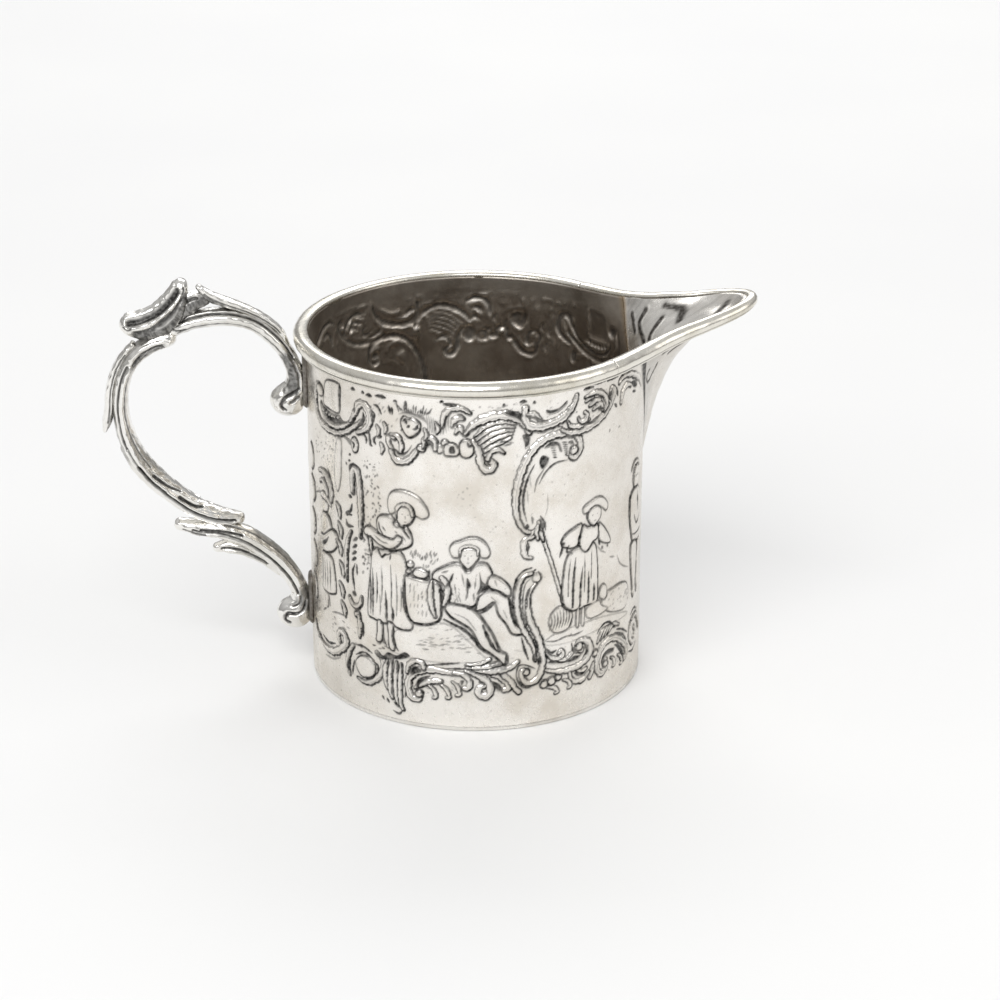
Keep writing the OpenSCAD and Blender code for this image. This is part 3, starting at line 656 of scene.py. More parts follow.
    # fan at the right with its long scroll
    band([(294.6, 55.2), (298, 54.3), (303, 54.2), (308, 54.7), (312.6, 55.8), (316, 57.4), (318.2, 59.2),
          (317, 60), (316, 59)], 1.1, ends=(0.4, 0.7), core=0.25)
    band([(297, 56.4), (298.4, 55.4), (302, 55.1), (305.6, 55.8)], 0.75)
    band([(301.2, 56.7), (302, 55.9), (304, 55.9), (305, 56.8), (304, 57.3)], 0.7)
    pit([(303.6, 55), (307, 55.3), (311, 56), (308, 54.9)], 0.18)
    for k, (a, z) in enumerate(((304.4, 59.2), (306, 58.2), (307.6, 57.3))):
        band([(a, z), (a + 3.4, z + 0.7), (a + 6.6 - k, z - 0.2 - k * 0.3)], 0.8, h=0.3, ends=(0.4, 0.3))
        pit([(a + 2.2, z - 0.2), (a + 4.2, z), (a + 4.6, z - 0.5), (a + 3, z - 0.6)], 0.16)
    band([(304, 60), (308.6, 60.4), (312.6, 59.4), (314.2, 57.6), (312.8, 56.6)], 0.85, ends=(0.3, 0.5))
    strokes(296, 301, 56.6, 58.6, 9, 1.0, 0.26, 0.7, 0.5)
    cuts([[(316, 57.6), (315.8, 59), (316.8, 60)], [(318.4, 56.8), (320, 56)],
          [(319.6, 59.6), (320.4, 58)]], w=0.5)
    strokes(300, 314, 55, 60.6, 16, 0.9, 0.2, 0.45, 0.6)
    strokes(283, 299, 57, 60.6, 12, 0.9, 0.2, 0.45, 0.5)
    strokes(262, 282, 59.4, 61, 14, 1.0, 0.2, 0.5, 0.3)
    strokes(228, 240, 54.6, 60.4, 14, 0.8, 0.2, 0.5, 1.4)
    for a, z in ((231.6, 55.6), (234.4, 56.4), (233, 52.6), (248.8, 56.4), (252.6, 57.6)):
        band([(a, z), (a + 0.9, z - 0.9), (a + 0.4, z - 1.9)], 0.6, h=0.24, ends=(0.4, 0.3), line=0.26)
    # last scrolls before the spout
    band([(322.4, 56.4), (323.4, 58.2), (326, 59.1), (329, 58.6)], 0.95, ends=(0.5, 0.6), ink=0.9)
    band([(321, 60.2), (324, 61), (328, 60.8), (332, 59.9), (336, 58.6), (338.6, 57)], 1.0, ends=(0.3, 0.4))
    pit([(330, 59), (332.8, 58.8), (334.8, 57.6), (333, 57.4), (331, 58)], 0.18)
    cuts([[(320.6, 60.6), (324, 61.6), (329, 61.6)], [(331, 57), (333.8, 56.6)],
          [(337, 58.6), (339.4, 57.4)]],
         w=0.5)


def divider():
    # upper C
    band([(299.2, 51.2), (298.6, 50), (300.2, 49.7), (301.8, 50.7), (301.9, 52.4), (299.6, 53.9), (295, 54.5),
          (290, 54.3), (286, 53.2), (283, 51.4), (280.6, 48.8), (279, 45.6), (278.6, 42.4), (279.6, 39.6),
          (281.8, 37.7), (284.4, 37.2)], 1.15, ends=(0.7, 0.4), h=0.4, line=0.42, ink=0.9, core=0.2)
    ball(299.4, 51.1, 0.8)
    cut([(285, 49.6), (282.8, 47.4), (281.4, 44.6), (281.3, 42), (282.4, 39.4)], 0.42, ink=0.8)
    cut([(288.4, 48.6), (286, 46.8), (285, 44.6)], 0.3, ink=0.6)
    cut([(297, 49.4), (292.6, 49.3), (289, 48), (286.6, 46)], 0.34, ink=0.7)
    pit([(287, 50.6), (288, 51.1), (289.6, 50.7), (290.2, 50.1), (288, 48.6), (286.8, 49.6)], 0.18)
    strokes(286.6, 289.4, 49, 50.4, 5, 1.6, 0.2, 0.5, 0.8)
    for k in range(7):
        cut([(290.4 + k * 0.2, 53 - k * 0.42), (292.4 + k * 0.1, 52.9 - k * 0.44)], 0.22, 0.1, 0.8)
        cut([(294.8 + k * 0.2, 52.9 - k * 0.4), (297 + k * 0.1, 52.6 - k * 0.42)], 0.22, 0.1, 0.8)
    pit([(288.4, 52.4), (291, 53.3), (294, 52.8), (295, 51.2), (294, 51.4), (293.2, 52.4), (290.6, 52.5)],
        0.16)
    pit([(297.2, 52.6), (299, 52.8), (299.6, 52), (298.2, 52.2)], 0.2)
    cuts([[(283.4, 47.8), (283.8, 45.6)], [(282.6, 45), (282.8, 42.6)],
          [(289.6, 44), (289.8, 41.6), (288.8, 39.6)]],
         w=0.2, ink=0.35)
    # knot
    for p in ([(281.8, 38.4), (282.8, 38.9), (283.4, 38.2), (282.4, 37.8)],
              [(284, 40.2), (285, 39.6), (284.4, 38.8)],
              [(287, 39.6), (288.4, 38.6), (288.6, 37.2), (287.4, 37.8)]):
        pit(p, 0.18)
    band([(283.6, 36.6), (285.4, 37.4), (287.4, 36.6), (288.2, 35.4)], 0.8, ends=(0.5, 0.3))
    band([(286.4, 38.4), (285.6, 37), (286.4, 35.8)], 0.7, ends=(0.4, 0.4))
    band([(284.6, 36.4), (281.9, 36), (281.4, 34.4), (282.2, 32.9), (284.2, 32.5)], 0.95, ends=(0.6, 0.3),
         ink=0.95)
    cuts([[(287.2, 40), (288.6, 38.8), (289.2, 37.2)], [(283.2, 35.2), (283, 33.8)]], w=0.4)
    # lower S
    band([(284.2, 29.6), (281.6, 29.2), (279.8, 27.6), (279.1, 24.8), (279.6, 22), (281.2, 19.4),
          (283.4, 17.2),
          (285.2, 15), (285.6, 13)], 0.85, ends=(0.5, 0.4), h=0.38, line=0.4, ink=0.85)
    cut([(284.2, 30.6), (281.4, 30.2), (279, 28.7), (277.9, 26), (277.8, 23), (278.6, 20.6)], 0.42, 0.16, 0.8,
        (0.6, 0.2))
    cut([(283.8, 28.6), (282, 27.6), (281.2, 25), (281.4, 22.2), (282.6, 19.6), (284, 17.6)], 0.26, 0.14, 0.7)
    band([(285.6, 27.6), (283.4, 26), (282.9, 23.4), (283.8, 20.6), (286, 18), (287.6, 15.4), (288.3, 12.6),
          (287.4, 10.2), (285.2, 8.9), (282.6, 8.8), (281, 9.9), (281.2, 11.2), (282.6, 11.1)], 1.0,
         ends=(0.3, 0.8), h=0.4, line=0.42, ink=0.9)
    ball(282.4, 10.9, 0.6)
    pit([(280, 12), (279.4, 10.4), (280.6, 8.8), (282.6, 8), (285, 8), (283.4, 7.6), (281, 7.9), (279.2, 9.3),
         (278.9, 11), (279.8, 12.4), (283, 12.2), (286, 11.2), (284, 11.6), (281.6, 12.2)], 0.22, 0.95)
    pit([(286, 16.8), (286.6, 15.4), (285.8, 13), (284.6, 13), (285.4, 14.6)], 0.2)
    pit([(286.4, 12.8), (287.6, 13.6), (287.8, 12.4), (286.8, 11.8)], 0.2)
    cut([(283.9, 27), (282.6, 25.4), (282.6, 23.4)], 0.3, 0.12, 0.7)
    cut([(280.8, 17.6), (281.8, 15.4), (283.2, 13.2)], 0.46)
    ball(286, 28.7, 0.85, 0.3, 0.6)
    cuts([[(286.6, 29.8), (287.4, 28.6), (286.8, 27.6)], [(285, 30), (285.8, 30.2)]], w=0.3)


def first_panel():
    # ground
    form([(234, 14.4), (236.4, 17), (242, 19.6), (250, 20.6), (257, 20.4), (263, 17.6), (268, 14.6),
          (272, 13),
          (262, 13.4), (252, 13.2), (243, 13.4)], 0.16, 3.0, 0.16, 0.3)
    strokes(244, 262, 15.2, 18.4, 26, 2.4, 0.2, 0.6)
    strokes(262, 280, 13.6, 15.6, 12, 2.0, 0.18, 0.4)
    strokes(228, 236, 13.6, 14.6, 8, 1.2, 0.3, 0.8)
    grass(243.4, 253, 32.6, 18, 0.8, 0.6)
    grass(248, 252, 31.4, 7, 0.6, 0.5)
    # staff and woman
    cut([(227, 35.2), (227.6, 33), (228.4, 30.2)], 0.3, ink=0.8)
    band([(227.9, 35.4), (228.6, 32.6), (229.2, 29.6)], 0.5, h=0.24, ends=(0.9, 0.5))
    # skirt
    form([(229.4, 32.6), (228.3, 29), (227.2, 24), (226.8, 20), (229, 19.4), (233, 19), (236.2, 19.5),
          (238.2, 18.8),
          (241.4, 18.7), (243.8, 19.4), (243, 23), (242.4, 27), (242.2, 30), (240.6, 32.8), (237, 33.4),
          (233, 33)], 0.34, 2.4, 0.42, 0.85)
    cut([(242.6, 28.6), (241.4, 26.4), (241.6, 23.6), (242.8, 21.2), (244.2, 20)], 0.72, 0.2, 0.9, (0.6, 0.3))
    for a, z0, z1, w in ((228.2, 20.2, 27.6, 0.4), (229.2, 20, 29, 0.42), (231, 22.6, 28.4, 0.26),
                         (233, 23, 30, 0.2), (234.5, 18.6, 25.4, 0.5), (236.6, 22, 30.5, 0.2),
                         (237, 19.8, 22.6, 0.5), (238.6, 21, 29, 0.2), (240.2, 22, 27, 0.18),
                         (232.2, 20.4, 24.4, 0.2)):
        cut([(a, z0), (a + 0.3, (z0 + z1) / 2), (a + 0.1, z1)], w, 0.1, 0.75, (0.5, 0.2))
    cut([(229.6, 32.2), (231.2, 33), (232.4, 32.2), (233.4, 31.6), (234.6, 32.2), (236, 32.4), (237.4, 33)],
        0.36)
    cut([(236.8, 32.4), (236.4, 31.4)], 0.3)
    # legs and feet
    form([(230.8, 19.2), (230.5, 17), (230, 15.4), (231.2, 15.1), (232.2, 16), (232.4, 19)], 0.24, 0.7,
         0.36, 0.8)
    form([(234.8, 19.4), (235, 17), (235.4, 14.6), (236.8, 14.2), (237.2, 15.6), (236.4, 17.4),
          (236.6, 19.2)], 0.24,
         0.7, 0.4, 0.85)
    pit([(230, 14.9), (232.4, 15), (234.4, 14.6), (233.4, 16), (233.2, 18.6), (232.9, 16), (231.6, 14.5)],
        0.14, 0.8)
    cut([(237.2, 18), (236.8, 16.6), (237.6, 15.2), (238.8, 14.2)], 0.5)
    # bodice, sleeves and arms
    form([(231.4, 36.6), (231.3, 38.4), (233, 39.4), (236.4, 39.6), (238.6, 38.6), (241.4, 38.4),
          (243.4, 37.2),
          (244.1, 35.6), (243.2, 34.6), (240, 33.7), (236.6, 33.2), (233.4, 34)], 0.36, 1.8, 0.4, 0.85)
    form([(225.6, 35.5), (226.4, 36.4), (228, 36.7), (231, 36.1), (234.6, 35.6), (237.6, 35.5), (239.2, 36.3),
          (240.6, 35.6), (238.6, 34.2), (235.6, 33.4), (232, 33.8), (228.6, 34.8), (226.4, 34.9)], 0.32,
          1.0, 0.42,
         0.9)
    cut([(232.2, 38), (232.6, 36.8), (234, 35.9)], 0.3)
    cut([(226.2, 35), (227.4, 33.8)], 0.36)
    # head and hat
    form([(236.4, 40), (235.6, 42), (236.8, 43.9), (239.6, 44.7), (243.4, 44.6), (247, 43.7), (249.4, 42),
          (249.8, 40.6), (248, 40), (245.6, 40.4), (241, 41), (238.4, 40.6)], 0.3, 1.5, 0.3, 0.62)
    form([(238.9, 39.4), (238.9, 41.2), (240.2, 42.2), (242.4, 42.4), (244.4, 41.9), (245, 40.6), (244, 39.2),
          (242, 38.3), (240.2, 38.2)], 0.4, 1.1, 0.46, 0.92)
    cuts([[(241, 40.4), (241.5, 40.4)], [(243, 40.4), (243.5, 40.4)], [(241.8, 39), (242.7, 39)],
          [(242.2, 40.2), (242.3, 39.6)]], w=0.18, ink=0.5)
    cut([(241.9, 38.4), (241.5, 37.6), (242.4, 36.8), (243.6, 36)], 0.4)
    cut([(238, 39.4), (237.9, 38)], 0.3)
    band([(239, 39.6), (239, 41), (240.4, 42), (242.6, 42.2), (244.2, 41.5), (244.7, 40.2)], 0.62, h=0.3,
         line=0.2)
    cuts([[(237.2, 38.6), (238.8, 37.8), (240.4, 37.9)], [(238.4, 37), (239.4, 36.6)],
          [(233.6, 37.4), (235, 36.6)],
          [(240.8, 36.4), (242.4, 35.4)], [(239.4, 35.2), (241.4, 34.8)],
          [(230, 35.4), (233, 34.6), (236, 34.4)]],
         w=0.22, ink=0.6)
    # basket with fruit
    form([(241.8, 29), (241.7, 26), (242.2, 23), (243.6, 20.7), (247, 20.3), (251, 20.7), (253.2, 21.6),
          (254, 24),
          (254, 26.8), (252.4, 28.4), (248, 28.7), (244.4, 28.9)], 0.38, 1.8, 0.5, 0.9)
    band([(250.9, 28.4), (250.5, 26), (251, 23.8), (252, 22)], 0.8, h=0.3, ends=(0.6, 0.4), line=0.4)
    for a in (243.4, 244.8, 246.2, 247.6, 249):
        strokes(a, a + 0.3, 21.6, 27.4, 7, 0.3, 0.16, 0.6, 5)
    cut([(253.6, 27.2), (254.3, 25), (253.9, 22.6)], 0.55, 0.16, 0.9)
    form([(244.6, 29.4), (245.2, 30.5), (247.2, 30.7), (249.4, 30.1), (249, 29.1), (247, 28.9)], 0.34, 0.8,
         0.34)
    ball(243.5, 31.2, 0.6)
    ball(242.9, 29.9, 0.42)
    pit([(249.8, 28.8), (250.4, 28.9), (250.4, 30.4), (249.8, 30.4)], 0.12)
    # seated man: coat
    form([(253.4, 28.6), (251.2, 29.2), (251.8, 30.4), (254.6, 31.4), (258.4, 32.3), (261.6, 32), (263, 31),
          (265, 32.1), (268.4, 32.3), (270, 31.2), (270.6, 29.8), (269.4, 27.8), (267, 26.4), (265.4, 24.6),
          (262, 23.9), (258, 24), (256.2, 26), (255.4, 27.6)], 0.38, 2.2, 0.44, 0.88)
    # legs
    form([(255, 24.4), (257, 22.4), (261, 21), (264, 19.8), (267, 16.8), (270, 15.4), (273, 14),
          (274.4, 12.9),
          (275.4, 13.4), (275.2, 14.8), (273, 15.8), (270.6, 18.8), (268.6, 20.6), (266.2, 22.6), (263.4, 24),
          (259, 24.6)], 0.36, 1.5, 0.6, 0.95)
    form([(265.6, 23.6), (268, 23.8), (271, 25), (272, 24.6), (273, 22.6), (275.4, 20.8), (277.2, 19),
          (279, 18.5),
          (281.4, 18.5), (280.4, 19.4), (278.8, 20.2), (277.4, 22.6), (276.2, 25.2), (274.6, 26.4),
          (270, 27.2),
          (266.6, 26.2)], 0.36, 1.4, 0.5, 0.92)
    cut([(266.4, 22.6), (268.4, 23.2), (270.6, 24.1), (272.2, 24.9)], 0.5, 0.16, 0.9, (0.5, 0.2))
    cut([(267.8, 20.6), (269.2, 18.6), (271.2, 16.4), (273.2, 15.3)], 0.62, 0.18, 0.92, (0.5, 0.4))
    cut([(255, 21.4), (258, 20.6), (261.6, 19.6), (264.6, 18), (267.4, 15.9), (270.6, 14.8)], 0.6, 0.18, 0.9,
        (0.5, 0.3))
    cut([(276.4, 26.6), (276.8, 24), (277.6, 21.6), (278.6, 20)], 0.46, 0.16, 0.9)
    cut([(275.6, 14.8), (275.6, 13.2), (276.6, 12.9)], 0.5)
    # arms, lapels, creases
    form([(269.8, 29.6), (271.4, 29.9), (274.4, 28.9), (276.6, 27.4), (276.8, 26), (275.4, 26), (273, 27),
          (270.4, 27.6), (269.2, 28.4)], 0.36, 1.0, 0.42, 0.88)
    band([(254.4, 29.4), (256, 28), (256, 26), (254.8, 24.2)], 0.95, h=0.32, ends=(0.8, 0.5), line=0.42)
    pit([(258.4, 30.4), (257.8, 29), (256.2, 27.6), (255.4, 27.8), (256.8, 29), (257.6, 30)], 0.2)
    pit([(262.7, 29.6), (264, 28.2), (263.2, 27.4), (262.9, 25.8), (262.4, 27.6)], 0.18)
    pit([(266.8, 30.6), (267.6, 29), (269.8, 27.8), (268, 26.8), (265.8, 26.5), (266.8, 28)], 0.22)
    strokes(255.6, 260.6, 24.8, 28, 12, 0.5, 0.18, 0.55, -3)
    cuts([[(264.8, 26.8), (265, 25.2)], [(263, 27.4), (262.2, 25.4)], [(259, 25.6), (258.2, 24.2)]], w=0.26,
         ink=0.6)
    # head and hat
    form([(258, 33.4), (257, 34.8), (258.2, 36), (260.6, 36.5), (263.4, 37.1), (266.4, 37), (268.8, 35.9),
          (270, 34.2), (269.2, 33.3), (267.4, 33.4), (263.6, 34.4), (260.2, 33.4)], 0.3, 1.3, 0.32, 0.68)
    form([(260.3, 34.2), (260.4, 32.8), (261.8, 31.7), (263.2, 31.2), (265.2, 32.3), (266.4, 33.4),
          (266, 34.7),
          (264.2, 35.2), (261.8, 35.1)], 0.4, 1.0, 0.38, 0.88)
    cuts([[(261.8, 33.7), (262.3, 33.7)], [(263.9, 33.7), (264.4, 33.7)], [(262.6, 32.4), (263.6, 32.4)],
          [(263.1, 33.5), (263.1, 32.9)]], w=0.18, ink=0.5)
    cut([(260.6, 32.4), (261.8, 31.4), (263, 30.7), (264.4, 31.5), (265.6, 32)], 0.5, 0.16, 0.9)
    band([(260.4, 33.6), (260.8, 35), (263.4, 35.5), (266, 35), (266.3, 33.8)], 0.5, h=0.3, line=0.2)
    cuts([[(258.6, 28.4), (259.2, 26.4)], [(261, 30.4), (261.8, 28)], [(265.6, 29.6), (265.2, 27.6)],
          [(271.6, 29.2), (272.4, 28)], [(258.6, 22.8), (262.4, 21.8), (265.6, 19.6)],
          [(270.4, 26), (273, 24.6)], [(274.4, 23.4), (276, 21.4)], [(254.4, 30.4), (256.6, 30.8)]], w=0.22,
          ink=0.55)
    strokes(245, 262, 16.6, 19.6, 22, 1.8, 0.18, 0.5, 0.3)
    dots(259, 268, 42, 47, 8, 0.12, 0.35)
    dots(271, 276, 36, 40, 6, 0.12, 0.4)


def second_panel():
    form([(289, 15.6), (292, 17.2), (300, 17.8), (312, 17.6), (324, 16.2), (330, 15), (322, 15), (310, 15.4),
          (298, 15)], 0.14, 2.0, 0.14, 0.3)
    cuts([[(289.4, 16.2), (293, 15.9), (297, 16.3), (301, 16.1)], [(299, 16.6), (299.6, 16.1), (304, 16.4)]],
         w=0.3, ink=0.7)
    # haystack
    form([(290.4, 19.6), (291.4, 21.4), (294, 22.4), (297, 21.8), (299.2, 20.6), (299, 18.6), (296.6, 17.6),
          (292.4, 17.7)], 0.3, 1.4, 0.3, 0.6)
    for k in range(7):
        cut([(290.6 + k * 1.1, 18 + 0.1 * k), (291.4 + k * 1.1, 19.8), (290.8 + k * 1.2, 21.4 + 0.1 * k)],
            0.26, 0.09,
            0.65)
    pit([(298, 17.8), (299.2, 19.6), (299.4, 18.4)], 0.16)
    # staff
    band([(286.6, 39), (289, 34.6), (291.6, 30.4), (294.8, 24.6)], 0.55, h=0.26, ends=(0.9, 0.9), line=0.26)
    # skirt
    form([(298.6, 32.4), (296.6, 30.8), (295.7, 28), (295.2, 25), (295.6, 22.8), (298.4, 21.2), (302, 20.9),
          (306, 21.2), (310.2, 21.2), (310.6, 25), (310.2, 29), (309.2, 32), (306.6, 33), (302, 32.8)],
          0.34, 2.2,
         0.36, 0.78)
    for a, z0, z1, w in ((299.3, 21.6, 31, 0.5), (302.3, 21.4, 29, 0.46), (305.8, 21.6, 27.6, 0.46),
                         (308.4, 21.8, 25, 0.5), (297.4, 24, 31, 0.2), (304, 24, 31, 0.18),
                         (307, 26, 31.6, 0.2)):
        cut([(a, z0), (a + 0.1, (z0 + z1) / 2), (a + 0.9 * (a < 304), z1)], w, 0.11, 0.8, (0.8, 0.15))
    cut([(295.2, 26.6), (295.1, 24), (296.2, 22), (298.6, 20.9)], 0.56, 0.16, 0.88)
    form([(301.2, 20.8), (301, 18), (302, 17.7), (302.4, 20.8)], 0.2, 0.5, 0.3, 0.6)
    form([(303.4, 20.8), (303.2, 18), (304.3, 17.7), (304.6, 20.8)], 0.2, 0.5, 0.3, 0.6)
    pit([(302.2, 18), (303, 18), (303.1, 20.4), (302.3, 20.4)], 0.1, 0.5)
    # bodice and sleeves
    form([(295, 34.6), (296.6, 35.8), (299.6, 36.6), (302.6, 37), (303, 35.6), (301.8, 33.6), (299.4, 32.9),
          (297.2, 33.2), (295.6, 33.6)], 0.34, 1.2, 0.34, 0.8)
    form([(303.4, 36.6), (305.6, 36), (309, 36.2), (310.6, 35), (310, 33.4), (307.6, 32.9), (304.6, 31.7),
          (302.4, 32.6), (301.8, 34)], 0.34, 1.4, 0.36, 0.8)
    cut([(303.2, 36.6), (302, 34.8), (301.2, 33.2)], 0.62, 0.18, 0.92)
    form([(310.6, 36), (313, 35), (315.8, 33), (317, 31.6), (315.8, 31.4), (312.4, 32.2), (310.6, 33.4)],
         0.3, 1.0,
         0.34, 0.75)
    cuts([[(295, 34.4), (295.4, 33.2), (294.4, 31.6)], [(297.6, 33.6), (297.2, 32.4), (299, 32)],
          [(311, 32.6), (311.6, 31.6)], [(312.6, 31.2), (313.2, 30.6)], [(315.4, 31), (316, 30.6)]], w=0.46,
          ink=0.8)
    pit([(295.2, 34.4), (296.2, 34.2), (295.6, 33.4)], 0.16)
    # head and hat
    form([(303.8, 38.8), (303.6, 39.9), (306.4, 40.6), (310.4, 41), (313.4, 40.2), (315.4, 38.7),
          (314.4, 37.8),
          (312, 38.8), (308, 39.3), (305.4, 38.7)], 0.28, 1.1, 0.28, 0.6)
    form([(305.4, 37.6), (305.6, 38.8), (307.2, 39.4), (309.4, 39.5), (311.4, 38.7), (311.4, 37.2),
          (309.8, 36.4),
          (307.6, 36)], 0.38, 0.9, 0.32, 0.8)
    cuts([[(307, 38), (307.5, 38)], [(309.2, 38), (309.7, 38)], [(308, 36.9), (308.9, 36.9)]], w=0.18,
         ink=0.45)
    # sheep
    form([(313.4, 19.6), (313, 21), (315, 22), (319, 22.2), (324, 22.2), (328.4, 21.2), (330.4, 19.2),
          (329.6, 17.4),
          (326.4, 16.6), (322.4, 17), (318.6, 17.6), (315.6, 18.4)], 0.34, 1.8, 0.28, 0.55)
    form([(311.4, 22), (311.8, 23.4), (313.6, 23.9), (315.2, 23), (315, 21.6), (313.4, 21)], 0.34, 0.8,
         0.28, 0.6)
    form([(305.6, 20.6), (305.4, 19.2), (307.6, 18.3), (312.6, 18.3), (315.6, 18.8), (312.6, 20),
          (311, 21.2)], 0.24,
         0.9, 0.28, 0.5)
    for i in range(26):
        a, z = rng.uniform(315, 329), rng.uniform(17.8, 21.4)
        cut([(a, z), (a + 0.5, z + 0.35), (a + 0.9, z)], 0.2, 0.06, 0.32)
    cuts([[(321.6, 27.8), (323.6, 26), (326.6, 24.8), (330, 24)],
          [(310.4, 31.6), (312.4, 30.4), (314.8, 29.6)],
          [(317, 28.4), (320, 27.9)]], w=0.28, ink=0.5)
    # standing man in a long coat
    form([(330.8, 37.6), (330, 35.4), (330.4, 32.6), (331.6, 30.4), (333, 28.6), (338, 27.8), (341.4, 28.2),
          (342, 32), (341, 35.6), (338.6, 37.8), (335, 38.6)], 0.36, 2.0, 0.42, 0.8)
    form([(331.6, 28), (332, 24), (333.4, 20.4), (334.4, 17.6), (336, 17.4), (336.4, 20.6), (336.6, 27.4)],
         0.3, 1.0,
         0.4, 0.75)
    form([(337.2, 27.4), (337.6, 23), (338.4, 18), (340.2, 17.8), (340.6, 22), (340.8, 27.6)], 0.3, 1.0,
         0.34, 0.7)
    form([(333.6, 38.8), (333.2, 41), (334.8, 42.6), (337.2, 42.4), (338.2, 40.6), (337, 38.8)], 0.38, 1.0,
         0.34, 0.7)
    form([(331.4, 42), (333.8, 43.4), (338, 43.2), (340.4, 41.6), (337, 42.6), (334, 42.6)], 0.26, 0.7,
         0.26, 0.6)
    cuts([[(332.6, 33.6), (335, 31.6), (338.4, 32.8)], [(331, 30), (335, 29.6), (341, 29.9)],
          [(335.8, 37.6), (336, 33.6)], [(334.2, 40.7), (334.6, 40.7)], [(335.8, 40.7), (336.2, 40.7)]],
          w=0.34,
         ink=0.7)
    dots(315, 325, 50, 53, 4, 0.2, 0.6)
    dots(291, 300, 40, 47, 8, 0.12, 0.4)


